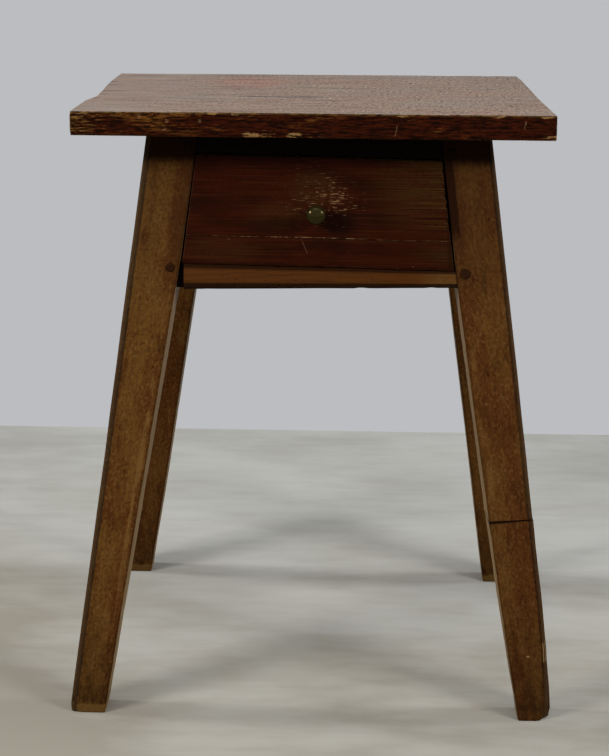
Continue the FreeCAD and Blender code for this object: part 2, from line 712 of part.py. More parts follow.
def top_blank():
    """One board, a little out of square, with a chewed hollow in its left end."""
    body = new_body("top_board_blank")
    place(body, f"{CENTRE_X} + dim.top_offset_x", CENTRE_Y, FRAME_HEIGHT, angle="dim.top_turn")
    left = "-dim.top_length / 2"
    right = "dim.top_length / 2"
    outline = [
        (left, "-dim.top_depth / 2"),
        (right, "-dim.top_depth / 2"),
        (right, "dim.top_depth / 2 + dim.top_skew / 2"),
        (left, "dim.top_depth / 2 - dim.top_skew / 2"),
        (left, "dim.bite_back_y"),
        (f"{left} + dim.bite_depth", "dim.bite_deep_y"),
        (left, "dim.bite_front_y"),
    ]
    slab = pad(body, draw(body, "top_outline", "XY_Plane", [outline]), "dim.top_thickness")
    doc.recompute()
    arrises = []
    for index, edge in enumerate(slab.Shape.Edges, start=1):
        if abs(edge.BoundBox.ZLength) < slab.Shape.BoundBox.ZLength / 2:
            arrises.append(f"Edge{index}")
    worn = body.newObject("PartDesign::Fillet", "top_arrises")
    worn.Base = (slab, arrises)
    worn.setExpression("Radius", "dim.top_edge_radius")
    return body


# ------------------------------------------------------------------------------------ drawer runners


def runner_edge(end):
    """X of a runner's inner edge, under the drawer."""
    return f"({end.bottom_x} - {end.side} * (dim.drawer_side_thickness + dim.runner_ledge))"


def runner_blank(name, front_leg, end):
    """Strip under one side of the drawer, from the lower front rail to the back apron."""
    body = new_body(name + "_blank")
    top = end.runner_z
    bottom = f"({top} - dim.runner_thickness)"
    edge = runner_edge(end)
    inside = front_leg.apron_inside
    section = [(edge, top), (edge, bottom), (inside(bottom), bottom), (inside(top), top)]
    pad(body, draw(body, name + "_section", "XZ_Plane", [section]), AMPLE, symmetric=True)
    trim_to(body, name + "_ends", "YZ_Plane", between(rail_back, back_apron_inside, bottom, top))
    return body


def guide_blank(name, front_leg, back_leg, end):
    """Strip on the runner that fills the space between the apron and the drawer, leg to leg."""
    body = new_body(name + "_blank")
    bottom = end.runner_z
    top = f"({bottom} + dim.guide_height)"
    section = [
        (clear_x(end.side, bottom), bottom),
        (clear_x(end.side, top), top),
        (front_leg.apron_inside(top), top),
        (front_leg.apron_inside(bottom), bottom),
    ]
    pad(body, draw(body, name + "_section", "XZ_Plane", [section]), AMPLE, symmetric=True)
    trim_to(body, name + "_ends", "YZ_Plane", between(front_leg.inner_y, back_leg.inner_y, bottom, top))
    return body


def runner_nails(name, end):
    """Level nails through the runner into the side apron."""
    x = runner_edge(end)
    z = f"({end.runner_z} - dim.runner_thickness / 2)"
    nails = []
    for count, sign in enumerate((FRONT, BACK), start=1):
        y = f"{CENTRE_Y} + {sign} * dim.runner_nail_spread"
        turn = f"{-end.side * QUARTER_TURN}"
        nails.append(cut_nail(f"{name}_nail_{count}", "dim.runner_nail_length", x, y, z, "0; 0; 1", turn))
    return nails


def guide_nails(name, front_leg, end):
    """Nails down through the guide into the runner."""
    top = f"({end.runner_z} + dim.guide_height)"
    x = f"({clear_x(end.side, top)} + {front_leg.apron_inside(top)}) / 2"
    nails = []
    for count, sign in enumerate((FRONT, BACK), start=1):
        y = f"{CENTRE_Y} + {sign} * dim.runner_nail_spread"
        nails.append(nail_down(f"{name}_nail_{count}", "dim.guide_nail_length", x, y, top))
    return nails


def stop_blank(name, end):
    """Block on the runner, behind the drawer; it reaches into the apron, which is then cut out of it."""
    body = new_body(name + "_blank")
    bottom = end.runner_z
    top = f"({bottom} + dim.stop_height)"
    inner = f"({end.bottom_x} - {end.side} * dim.stop_width)"
    section = [(end.bottom_x, bottom), (inner, bottom), (inner, top), (end.bottom_x, top)]
    near = f"({DRAWER_BACK_Y} + dim.stop_gap)"
    far = f"(({back_apron_inside(bottom)} + {back_apron_face(top)}) / 2)"
    pad(body, draw(body, name + "_section", "XZ_Plane", [section], far), f"{far} - {near}")
    return body


# -------------------------------------------------------------------------------------------- drawer


def drawer_front_blank():
    """Drawer front: leans with the legs, and its ends follow their slant."""
    body = new_body("drawer_front_blank")
    low = f"min({LEFT_END.bottom_z}; {RIGHT_END.bottom_z})"
    high = f"max({LEFT_END.top_z}; {RIGHT_END.top_z})"
    section = canted_profile(drawer_face, 1, "dim.drawer_front_thickness", low, high, beaded=False)
    pad(body, draw(body, "drawer_front_section", "YZ_Plane", [section]), AMPLE, symmetric=True)
    outline = [
        (LEFT_END.bottom_x, LEFT_END.bottom_z),
        (RIGHT_END.bottom_x, RIGHT_END.bottom_z),
        (RIGHT_END.top_x, RIGHT_END.top_z),
        (LEFT_END.top_x, LEFT_END.top_z),
    ]
    trim_to(body, "drawer_front_outline", "XZ_Plane", outline)
    return body


def pin_gaps(low, high, end_line, base_line):
    """Loops between the tails of a side, one for each pin: narrow at the end, wide at the base."""
    loops = []
    for pin in range(TAILS + 1):
        z = f"({low} + ({high} - {low}) * {pin} / {TAILS})"
        near = "dim.pin_width / 2"
        wide = "(dim.pin_width / 2 + dim.pin_flare)"
        loops.append([
            (end_line(f"({z} - {near})"), f"{z} - {near}"),
            (base_line(f"({z} - {wide})"), f"{z} - {wide}"),
            (base_line(f"({z} + {wide})"), f"{z} + {wide}"),
            (end_line(f"({z} + {near})"), f"{z} + {near}"),
        ])
    return loops


def drawer_side_blank(name, end):
    """Drawer side with dovetails at both ends: lapped at the canted front, through at the back."""
    body = new_body(name + "_blank")
    thickness = f"{end.side} * dim.drawer_side_thickness"
    section = [
        (end.bottom_x, end.bottom_z),
        (end.top_x, end.top_z),
        (f"{end.top_x} - {thickness}", end.top_z),
        (f"{end.bottom_x} - {thickness}", end.bottom_z),
    ]
    start = drawer_face(end.bottom_z)
    sketch = draw(body, name + "_section", "XZ_Plane", [section], DRAWER_BACK_Y)
    pad(body, sketch, f"{DRAWER_BACK_Y} - {start}")
    ahead = f"({start} - dim.drawer_front_thickness)"
    waste = [
        (ahead, end.bottom_z),
        (tail_end(end.bottom_z), end.bottom_z),
        (tail_end(end.top_z), end.top_z),
        (ahead, end.top_z),
    ]
    cut_through(body, draw(body, name + "_front_end", "YZ_Plane", [waste]))
    front_pins = pin_gaps(end.bottom_z, end.top_z, tail_end, drawer_face_back)
    cut_through(body, draw(body, name + "_front_tails", "YZ_Plane", front_pins))
    back_low = f"({end.bottom_z} + {PANEL_TOP_LIFT} + dim.pin_width / 2 + dim.pin_flare)"
    back_pins = pin_gaps(back_low, end.top_z, drawer_back_outside, drawer_back_inside)
    cut_through(body, draw(body, name + "_back_tails", "YZ_Plane", back_pins))
    return body


def drawer_back_blank():
    """Drawer back, full width, standing on the drawer bottom."""
    body = new_body("drawer_back_blank")
    outline = [
        (LEFT_END.outer_x(PANEL_TOP_LIFT), f"{LEFT_END.bottom_z} + {PANEL_TOP_LIFT}"),
        (RIGHT_END.outer_x(PANEL_TOP_LIFT), f"{RIGHT_END.bottom_z} + {PANEL_TOP_LIFT}"),
        (RIGHT_END.top_x, RIGHT_END.top_z),
        (LEFT_END.top_x, LEFT_END.top_z),
    ]
    sketch = draw(body, "drawer_back_outline", "XZ_Plane", [outline], DRAWER_BACK_Y)
    pad(body, sketch, "dim.drawer_back_thickness")
    return body


def drawer_bottom_blank():
    """Drawer bottom: a board in the grooves of front and sides, run out under the back."""
    body = new_body("drawer_bottom_blank")
    low = "dim.drawer_panel_lift"
    section = [
        (LEFT_END.groove_x(low), f"{LEFT_END.bottom_z} + {low}"),
        (RIGHT_END.groove_x(low), f"{RIGHT_END.bottom_z} + {low}"),
        (RIGHT_END.groove_x(PANEL_TOP_LIFT), f"{RIGHT_END.bottom_z} + {PANEL_TOP_LIFT}"),
        (LEFT_END.groove_x(PANEL_TOP_LIFT), f"{LEFT_END.bottom_z} + {PANEL_TOP_LIFT}"),
    ]
    front = f"({drawer_face_back(LEFT_END.bottom_z)} - dim.groove_depth)"
    sketch = draw(body, "drawer_bottom_section", "XZ_Plane", [section], DRAWER_BACK_Y)
    pad(body, sketch, f"{DRAWER_BACK_Y} - {front}")
    return body


def drawer_nails():
    """Nails up through the drawer bottom into the drawer back."""
    nails = []
    for count, sign in enumerate((LEFT, 0, RIGHT), start=1):
        x = f"{CENTRE_X} + {sign} * dim.drawer_nail_spread"
        z = f"({OPENING_BOTTOM} + dim.drawer_bottom_gap + dim.drawer_panel_lift - {fall(x)})"
        y = f"{DRAWER_BACK_Y} - dim.drawer_back_thickness / 2"
        name = f"drawer_nail_{count}"
        nails.append(cut_nail(name, "dim.drawer_nail_length", x, y, z, "1; 0; 0", f"{QUARTER_TURN}"))
    return nails


# ---------------------------------------------------------------------------------------------- knob

KNOB_X = f"({CENTRE_X} + dim.knob_offset_x)"
KNOB_Z = f"({OPENING_BOTTOM} + dim.knob_rise)"
FRONT_DEPTH = f"(dim.drawer_front_thickness * cos({FRONT_CANT}))"


def place_on_drawer_face(feature):
    """Puts an object's origin on the drawer front, with its own -Y square to that face."""
    place(feature, KNOB_X, drawer_face(KNOB_Z), KNOB_Z, "1; 0; 0", f"-{FRONT_CANT}")


def turned(body, name, loop):
    """Solid of revolution about the body's own Y."""
    sketch = draw(body, name, "XY_Plane", [loop])
    feature = body.newObject("PartDesign::Revolution", name + "_turned")
    feature.Profile = sketch
    feature.ReferenceAxis = (sketch, ["V_Axis"])
    feature.Angle = 360
    return feature


def knob():
    """Ball knob on a neck and collar, with a blind hole for its screw."""
    body = new_body("drawer_knob_body")
    place_on_drawer_face(body)
    ball = "dim.knob_radius"
    neck = "dim.knob_neck_radius"
    bore = "(dim.screw_radius + dim.screw_clearance)"
    bore_end = "-(dim.screw_depth + dim.screw_clearance)"
    profile = [
        (bore, "0"),
        ("dim.knob_collar_radius", "0"),
        ("dim.knob_collar_radius", "-dim.knob_collar_height"),
        (neck, "-dim.knob_collar_height"),
        (neck, f"-dim.knob_reach + sqrt({ball} * {ball} - {neck} * {neck})"),
        Arc(("0", "-dim.knob_reach"), clockwise=True),
        ("0", f"-dim.knob_reach - {ball}"),
        ("0", bore_end),
        (bore, bore_end),
    ]
    turned(body, "knob_profile", profile)
    return body


def knob_screw():
    """Screw from inside the drawer, through its front and into the knob."""
    body = new_body("knob_screw_body")
    place_on_drawer_face(body)
    head_end = f"({FRONT_DEPTH} + dim.screw_head_height)"
    profile = [
        ("0", "-dim.screw_depth"),
        ("dim.screw_radius", "-dim.screw_depth"),
        ("dim.screw_radius", FRONT_DEPTH),
        ("dim.screw_head_radius", FRONT_DEPTH),
        ("dim.screw_head_radius", head_end),
        ("0", head_end),
    ]
    turned(body, "knob_screw_profile", profile)
    return body


def screw_hole():
    """Tool for the hole through the drawer front."""
    radius = "dim.screw_radius + dim.screw_clearance"
    hole = cylinder("screw_hole", radius, "2 * dim.drawer_front_thickness")
    y = f"({drawer_face(KNOB_Z)} - dim.screw_head_height)"
    z = f"({KNOB_Z} + dim.screw_head_height * tan({FRONT_CANT}))"
    place(hole, KNOB_X, y, z, "1; 0; 0", f"-{QUARTER_TURN} deg - {FRONT_CANT}")
    return hole


# ------------------------------------------------------------------------------------------ assembly


def pieces_of(pairs, index, legs):
    """Pegs (index 0) or holes (index 1) of some legs."""
    return [pair[index] for leg in legs for pair in pairs[leg]]


def splice_block():
    """Everything below the slanted joint of the front right leg."""
    body = new_body("splice_block")
    middle = f"({FRONT_RIGHT.outer_x('dim.splice_height')} - dim.leg_size / 2)"
    reach = "(2 * dim.leg_size)"
    rise = f"(dim.splice_slope * {reach})"
    below = f"-{reach}"
    loop = [
        (f"{middle} - {reach}", below),
        (f"{middle} + {reach}", below),
        (f"{middle} + {reach}", f"dim.splice_height + {rise}"),
        (f"{middle} - {reach}", f"dim.splice_height - {rise}"),
    ]
    pad(body, draw(body, "splice_outline", "XZ_Plane", [loop]), AMPLE, symmetric=True)
    return body


def dowel_and_hole():
    """Upright dowel across the splice, and its hole."""
    z = "(dim.splice_height - dim.dowel_length / 2)"
    x = f"({FRONT_RIGHT.outer_x('dim.splice_height')} - dim.leg_size / 2 + dim.corner_bead_radius)"
    y = f"({FRONT_RIGHT.outer_y('dim.splice_height')} + dim.leg_size / 2 - dim.corner_bead_radius)"
    dowel = cylinder("splice_dowel_rod", "dim.dowel_radius", "dim.dowel_length")
    hole = cylinder("splice_dowel_hole", "dim.dowel_radius + dim.peg_clearance", "dim.dowel_length")
    place(dowel, x, y, z)
    place(hole, x, y, z)
    return dowel, hole


def build_frame():
    """Legs, rails, aprons, pegs and top."""
    legs = {leg: leg_blank(leg) for leg in (FRONT_LEFT, FRONT_RIGHT, BACK_LEFT, BACK_RIGHT)}
    upper_rail = upper_front_rail_blank()
    lower_rail = lower_front_rail_blank()
    left_apron = side_apron_blank("left_side_apron", FRONT_LEFT, BACK_LEFT)
    right_apron = side_apron_blank("right_side_apron", FRONT_RIGHT, BACK_RIGHT)
    back_apron = back_apron_blank()
    tenoned = {
        FRONT_LEFT: [upper_rail, lower_rail, left_apron],
        FRONT_RIGHT: [upper_rail, lower_rail, right_apron],
        BACK_LEFT: [back_apron, left_apron],
        BACK_RIGHT: [back_apron, right_apron],
    }
    rail_pegs = front_rail_pegs()
    side_pegs = apron_pegs(legs, True, "side_peg")
    back_pegs = apron_pegs((BACK_LEFT, BACK_RIGHT), False, "back_peg")
    finished = {}
    for leg, blank in legs.items():
        holes = pieces_of(side_pegs, 1, [leg])
        if leg in rail_pegs:
            holes += pieces_of(rail_pegs, 1, [leg])
        if leg in back_pegs:
            holes += pieces_of(back_pegs, 1, [leg])
        finished[leg] = cut_from(blank, tenoned[leg] + holes, leg.name)
    for leg in (FRONT_LEFT, BACK_LEFT, BACK_RIGHT):
        keep(finished[leg], leg.name)
    block = splice_block()
    dowel, dowel_hole = dowel_and_hole()
    foot = doc.addObject("Part::Common", "front_right_foot")
    foot.Base = finished[FRONT_RIGHT]
    foot.Tool = block
    keep(cut_from(finished[FRONT_RIGHT], [block, dowel_hole], "front_right_upper"), "front_right_leg")
    keep(cut_from(foot, [dowel_hole], "front_right_foot"), "front_right_leg_splice")
    keep(dowel, "splice_dowel")

    nails = top_nails()
    front_holes = pieces_of(rail_pegs, 1, [FRONT_LEFT, FRONT_RIGHT])
    left_holes = pieces_of(side_pegs, 1, [FRONT_LEFT, BACK_LEFT])
    right_holes = pieces_of(side_pegs, 1, [FRONT_RIGHT, BACK_RIGHT])
    back_holes = pieces_of(back_pegs, 1, [BACK_LEFT, BACK_RIGHT])
    into_apron = build_runners(legs, back_apron)
    for blank, tools, node in (
        (upper_rail, front_holes[0::2] + nails["front"], "upper_front_rail"),
        (lower_rail, front_holes[1::2], "lower_front_rail"),
        (left_apron, left_holes + nails["left"] + into_apron[LEFT], "left_side_apron"),
        (right_apron, right_holes + nails["right"] + into_apron[RIGHT], "right_side_apron"),
        (back_apron, back_holes + nails["back"], "back_apron"),
    ):
        keep(cut_from(blank, tools, node), node)
    keep(group(pieces_of(rail_pegs, 0, rail_pegs), "rail_pegs"), "front_rail_pegs")
    keep(group(pieces_of(side_pegs, 0, side_pegs), "side_pegs"), "side_apron_pegs")
    keep(group(pieces_of(back_pegs, 0, back_pegs), "back_pegs"), "back_apron_pegs")
    all_nails = group([nail for row in nails.values() for nail in row], "all_top_nails")
    keep(cut_from(top_blank(), [all_nails], "top_board"), "top_board")
    keep(all_nails, "top_nails")


def build_runners(legs, back_apron):
    """Runners, guides and stops; returns the nails that reach into each side apron."""
    into_apron = {}
    nails = []
    stops = []
    for side, front_leg, back_leg, end in (
        ("left", FRONT_LEFT, BACK_LEFT, LEFT_END),
        ("right", FRONT_RIGHT, BACK_RIGHT, RIGHT_END),
    ):
        runner = runner_blank(f"{side}_drawer_runner", front_leg, end)
        guide = guide_blank(f"{side}_drawer_guide", front_leg, back_leg, end)
        level = runner_nails(f"{side}_runner", end)
        upright = guide_nails(f"{side}_guide", front_leg, end)
        tools = [legs[front_leg], legs[back_leg]] + level + upright
        keep(cut_from(runner, tools, f"{side}_runner"), f"{side}_drawer_runner")
        keep(cut_from(guide, upright, f"{side}_guide"), f"{side}_drawer_guide")
        stop = stop_blank(f"{side}_drawer_stop", end)
        stops.append(cut_from(stop, [back_apron], f"{side}_stop"))
        into_apron[end.side] = level
        nails += level + upright
    keep(group(nails, "runner_nail_group"), "runner_nails")
    keep(group(stops, "drawer_stop_group"), "drawer_stops")
    return into_apron


def build_drawer():
    """The drawer's five boards, its nails, and its knob with the screw that holds it."""
    left = drawer_side_blank("drawer_left_side", LEFT_END)
    right = drawer_side_blank("drawer_right_side", RIGHT_END)
    bottom = drawer_bottom_blank()
    nails = drawer_nails()
    front_tools = [left, right, bottom, screw_hole()]
    keep(cut_from(drawer_front_blank(), front_tools, "drawer_front"), "drawer_front")
    keep(cut_from(left, [bottom], "drawer_left"), "drawer_left_side")
    keep(cut_from(right, [bottom], "drawer_right"), "drawer_right_side")
    keep(cut_from(drawer_back_blank(), [left, right, bottom] + nails, "drawer_back"), "drawer_back")
    keep(cut_from(bottom, nails, "drawer_bottom"), "drawer_bottom")
    keep(group(nails, "drawer_nail_group"), "drawer_bottom_nails")
    keep(knob(), "drawer_knob")
    keep(knob_screw(), "knob_screw")


def check_and_write():
    """Refuses a failed object or a bad solid, then writes one STEP file for each piece."""
    doc.recompute()
    for item in doc.Objects:
        if "Invalid" in item.State or "Error" in item.State:
            raise RuntimeError(f"{item.Label} is {item.State}")
    for feature in nodes:
        if feature.Shape.isNull() or not feature.Shape.isValid() or not feature.Shape.Solids:
            raise RuntimeError(f"{feature.Label} has no valid solid")
    os.makedirs("parts", exist_ok=True)
    for feature in nodes:
        shape = feature.Shape
        shape.exportStep(f"parts/{feature.Label}.step")
        print(f"{feature.Label:24s} {len(shape.Solids):2d} solids {shape.Volume:12.0f} mm3")


fill_sheet()
build_frame()
build_drawer()
check_and_write()
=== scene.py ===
"""Dresses the frame of a small tavern table: worn softwood boards, turned brass, old pegs and nails.

All lengths are in metres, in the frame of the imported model: +Z up, the drawer opens towards -Y.
A wooden piece is a net of points over the board's own box, which is worn in its own flat coordinates and
then carried to the slanting board that the frame gives. A finish is a colour with coats over it, each laid
where a mask says. Masks come from noises, from places on the table, and from numbers that a piece keeps for
its points.
"""
import json
import math

import bmesh
import bpy
import numpy as np
from mathutils import Matrix, Vector

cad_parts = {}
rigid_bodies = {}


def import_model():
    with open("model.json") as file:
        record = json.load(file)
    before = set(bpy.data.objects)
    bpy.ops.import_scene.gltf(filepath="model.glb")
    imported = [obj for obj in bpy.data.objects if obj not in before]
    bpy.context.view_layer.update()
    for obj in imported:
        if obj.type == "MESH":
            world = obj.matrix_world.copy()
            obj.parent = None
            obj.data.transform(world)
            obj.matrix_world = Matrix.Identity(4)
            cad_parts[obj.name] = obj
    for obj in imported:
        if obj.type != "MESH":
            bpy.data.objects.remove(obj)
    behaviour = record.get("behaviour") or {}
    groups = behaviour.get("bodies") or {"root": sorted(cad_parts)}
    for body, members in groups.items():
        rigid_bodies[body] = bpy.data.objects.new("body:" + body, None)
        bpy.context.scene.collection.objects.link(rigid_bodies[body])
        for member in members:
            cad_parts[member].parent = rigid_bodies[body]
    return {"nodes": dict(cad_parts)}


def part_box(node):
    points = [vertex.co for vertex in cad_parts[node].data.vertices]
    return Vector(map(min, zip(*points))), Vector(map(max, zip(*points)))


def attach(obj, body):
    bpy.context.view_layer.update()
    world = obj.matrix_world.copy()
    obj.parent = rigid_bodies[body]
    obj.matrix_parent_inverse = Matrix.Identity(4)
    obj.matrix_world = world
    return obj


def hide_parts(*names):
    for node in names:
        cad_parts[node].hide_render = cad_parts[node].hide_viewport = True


for start_up in list(bpy.data.objects):
    bpy.data.objects.remove(start_up)
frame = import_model()
bpy.context.view_layer.update()

bl_info = {
    "name": "Tavern Table",
    "version": (1, 0, 0),
    "blender": (4, 5, 0),
    "location": "View3D > Sidebar > Tavern Table",
    "description": "Dresses the frame of a small tavern table in worn wood, brass and iron",
    "category": "Object",
}

LEFT, RIGHT = 0, 1
FRONT, BACK = 0, 1
LOW, HIGH = 0, 1
X, Y, Z = 0, 1, 2
# Half depth of a soft spot that is meant for one face only.
THROUGH = 0.1
# Height of a finish's pits and streaks at full strength.
BUMP_HEIGHT = 0.0006


def srgb(red, green, blue):
    """Linear colour of a screen colour given as 0 to 255."""
    shares = [value / 255 for value in (red, green, blue)]
    return tuple(s / 12.92 if s <= 0.04045 else ((s + 0.055) / 1.055) ** 2.4 for s in shares)


# ------------------------------------------------------------------------------- sizes and colours


def length(name, description, default):
    """A length that a user may change, in metres."""
    return bpy.props.FloatProperty(
        name=name, description=description, default=default, min=0.0, precision=4, unit="LENGTH"
    )


def spread(name, description, default):
    """How many times wider a piece is made, which a user may change."""
    return bpy.props.FloatProperty(name=name, description=description, default=default, min=1.0)


def colour(name, description, red, green, blue):
    """A colour that a user may change; its default is given as a screen colour."""
    shares = srgb(red, green, blue)
    return bpy.props.FloatVectorProperty(
        name=name, description=description, default=shares, min=0.0, max=1.0, subtype="COLOR"
    )


class TableSizes(bpy.types.PropertyGroup):
    """Sizes of the boards that the frame's boxes don't give."""

    leg_size: length("Leg", "Side of a leg's square section above its taper", 0.0557)
    foot_width: length("Foot width", "Width of a foot, left to right", 0.0417)
    foot_depth: length("Foot depth", "Width of a foot, front to back", 0.0365)
    taper_height: length("Taper height", "Where a leg's taper starts", 0.4826)
    leg_bead: length("Leg bead", "Radius of the bead on a leg's outer corner", 0.0029)
    rail_bead: length("Rail bead", "Radius of the bead on the lower edge of rails and aprons", 0.0026)
    quirk: length("Quirk", "Width of the groove beside a bead", 0.0020)
    apron: length("Apron", "Thickness of the side and back aprons", 0.0200)
    rail: length("Rail", "Thickness of the front rails", 0.0220)
    arris: length("Arris", "Rounding of a plain worn edge", 0.0012)
    top_arris: length("Top arris", "Rounding of the top board's edges", 0.0014)
    peg_spread: spread("Peg spread", "How much a peg's rubbed end spreads over its hole", 1.12)
    knob_spread: spread("Knob spread", "How much wider the ball is than the knob's box", 1.06)
    nail_sunk: length("Nail sunk", "How far the top's nails are punched below its paint", 0.0005)


class TableColours(bpy.types.PropertyGroup):
    """Colours of the table and of the stage."""

    top: colour("Top", "Rubbed paint on the top", 126, 103, 86)
    top_red: colour("Top red", "Where more paint is left on the top", 152, 96, 78)
    top_pale: colour("Top pale", "Palest streaks of the top", 164, 150, 140)
    top_grey: colour("Top grey", "Where the top is rubbed to greyed wood", 120, 107, 97)
    edge: colour("Edge", "Dark paint on the top's edges", 56, 19, 5)
    edge_dark: colour("Edge dark", "Darkest streaks of that paint", 16, 4, 1)
    edge_brown: colour("Edge brown", "Thin, browner streaks of that paint", 98, 60, 22)
    edge_olive: colour("Edge olive", "Olive wood at the top's left corner", 112, 88, 44)
    bare: colour("Bare wood", "Wood where the paint has flaked away", 142, 108, 65)
    leg: colour("Leg", "Brown of the legs", 90, 60, 24)
    leg_red: colour("Leg red", "Redder patches of the legs", 78, 44, 16)
    leg_brown: colour("Leg brown", "Darker brown of a leg's upper end", 44, 22, 8)
    leg_pale: colour("Leg pale", "Rubbed places of the legs", 118, 88, 46)
    # This colour also paints light: the legs' inner sides are made paler with it, as if lit from the side. It
    # is also the chips' colour.
    leg_side_light_and_chips: colour("Leg side", "Paler sides of the legs", 124, 99, 64)
    leg_grey: colour("Leg grey", "Greyed bead of the legs", 70, 55, 37)
    leg_dark: colour("Leg dark", "Specks and stains of the legs", 34, 17, 5)
    rail: colour("Rail", "Orange brown of the rail and aprons", 74, 40, 12)
    drawer: colour("Drawer red", "Paint of the drawer front", 47, 14, 4)
    # This colour also paints shade: the top's shadow on legs and aprons, the drawer's on the rail below, the
    # knob's, and the drawer's foot and right end.
    drawer_dark_and_shade: colour("Drawer dark", "Darker streaks of that paint", 20, 5, 1)
    # Black that the rail over the drawer and the lower rail's tenon are mixed with, as painted shade.
    deep_shade: colour("Deep shade", "What the rail over the drawer fades to", 0, 0, 0)
    drawer_olive: colour("Drawer olive", "Thin, browner paint", 56, 36, 12)
    fleck: colour("Fleck", "Chips of the drawer front's paint", 150, 114, 84)
    raw: colour("Raw wood", "Unpainted wood inside the table", 150, 112, 68)
    # This colour also paints shade: in the gap beside the lower rail, in the quirks, and on the pegs under
    # the top.
    dirt_and_shade: colour("Dirt", "Dirt in grooves and round pegs", 14, 6, 2)
    brass: colour("Brass", "Aged brass of the knob", 50, 42, 16)
    brass_dull: colour("Brass dull", "Greener clouds on that brass", 44, 40, 18)
    iron: colour("Iron", "Rusted iron of the nails", 52, 36, 28)
    steel: colour("Steel", "Dull steel of the knob's screw", 154, 151, 147)
    floor: colour("Floor", "Floor of the stage", 192, 192, 187)
    floor_worn: colour("Floor worn", "Where the floor is a little darker", 142, 137, 126)
    backdrop: colour("Backdrop", "Wall colour behind the stage", 188, 189, 192)


def tint(name):
    """One of the table's colours, as a socket takes it."""
    return (*getattr(bpy.context.scene.table_colours, name), 1.0)


def sizes():
    """The table's sizes, as the user has set them."""
    return bpy.context.scene.table_sizes


# --------------------------------------------------------------------------------- nets of points

# Large whole numbers that stir a point of the lattice and a seed into a random value.
STIR_PLACE, STIR_SEED = (73856093, 19349663, 83492791), 15485863
STIR_ONCE, STIR_AGAIN, STIR_MASK = 668265263, 374761393, 0x7FFFFFFF


def value_noise(points, cell, seed):
    """Smooth noise from 0 to 1 at each point. The cell is one length, or one for each axis."""
    places = np.asarray(points) / np.asarray(cell)
    base = np.floor(places).astype(np.int64)
    share = smooth_step(places - base, 0, 1)
    total = np.zeros(len(places))
    for step in np.ndindex(2, 2, 2):
        key = (base + np.array(step)) @ np.array(STIR_PLACE) + seed * STIR_SEED
        key = (key ^ (key >> 15)) * STIR_ONCE & STIR_MASK
        key = (key ^ (key >> 13)) * STIR_AGAIN & STIR_MASK
        value = (key >> 8 & 0xFFFF) / 0xFFFF
        weight = np.where(np.array(step) == 1, share, 1 - share).prod(axis=1)
        total += weight * value
    return total


def smooth_step(values, start, end):
    """0 at the start and 1 at the end, with a soft way between."""
    share = np.clip((values - start) / (end - start), 0, 1)
    return share * share * (3 - 2 * share)


def run(start, end, count):
    """Points of a straight stretch, without its end."""
    share = np.arange(count)[:, None] / count
    return np.array(start) + share * (np.array(end) - np.array(start))


def arc(centre, radius, start, end, count):
    """Points of an arc between two angles in degrees, both ends included."""
    angles = np.radians(np.linspace(start, end, count))
    return np.array(centre) + radius * np.stack((np.cos(angles), np.sin(angles)), axis=1)


def carry(corners, shares):
    """Takes places given as shares of a box to the slanting box with these eight corners."""
    placed = np.zeros((len(shares), 3))
    for index in np.ndindex(2, 2, 2):
        weight = np.where(np.array(index) == 1, shares, 1 - shares).prod(axis=1)
        placed += weight[:, None] * corners[index]
    return placed


def board_corners(node, weights=(1, 1, 1)):
    """Eight corners of a board of the frame, by [left or right][front or back][low or high]."""
    points = np.array([vertex.co for vertex in frame["nodes"][node].data.vertices])
    corners = np.empty((2, 2, 2, 3))
    for index in np.ndindex(2, 2, 2):
        way = (2 * np.array(index) - 1) * np.array(weights)
        corners[index] = points[np.argmax(points @ way)]
    return corners


def mean_lengths(corners):
    """A slanting box's mean length along each of its three ways."""
    return np.array([np.linalg.norm(np.diff(corners, axis=way), axis=-1).mean() for way in (X, Y, Z)])


def graded(size, spacing, arris):
    """Places along one way of a box, closer together on the rounded arris at both ends."""
    bend = arris * np.tan(np.radians((45, 30, 15, 0)))
    low = arris - bend
    inner = np.linspace(arris, size - arris, max(2, round(size / spacing)))[1:-1]
    return np.concatenate((low, inner, size - low[::-1]))


def block_net(lengths, spacings, arris):
    """Points and faces over the six sides of a box with rounded arrises, in the box's own lengths."""
    steps = [graded(size, spacing, arris) for size, spacing in zip(lengths, spacings)]
    shape = tuple(len(step) for step in steps)
    grid = np.indices(shape)
    outside = np.zeros(shape, bool)
    for axis, count in enumerate(shape):
        outside |= (grid[axis] == 0) | (grid[axis] == count - 1)
    number = np.full(shape, -1)
    number[outside] = np.arange(outside.sum())
    points = np.stack([steps[axis][grid[axis][outside]] for axis in (X, Y, Z)], axis=1)
    faces = []
    for axis in (X, Y, Z):
        for end in (0, -1):
            side = np.take(number, end, axis=axis)
            quads = np.stack((side[:-1, :-1], side[1:, :-1], side[1:, 1:], side[:-1, 1:]), axis=-1)
            faces += quads.reshape(-1, 4).tolist()
    inside = np.clip(points, arris, np.array(lengths) - arris)
    way = points - inside
    points = inside + way * (arris / np.maximum(np.linalg.norm(way, axis=1), 1e-9))[:, None]
    return points, faces


def arris_distance(points, lengths):
    """How far each point on a box's surface is from the nearest arris."""
    margins = np.minimum(points, np.array(lengths) - points)
    return np.sort(margins, axis=1)[:, 1]


def tube_net(rings):
    """Points and faces of a skin over rings of points, closed at both ends."""
    count, around = rings.shape[:2]
    number = np.arange(count * around).reshape(count, around)
    after = np.roll(number, -1, axis=1)
    quads = np.stack((number[:-1], after[:-1], after[1:], number[1:]), axis=-1)
    faces = quads.reshape(-1, 4).tolist()
    faces += [number[0][::-1].tolist(), number[-1].tolist()]
    return rings.reshape(-1, 3), faces


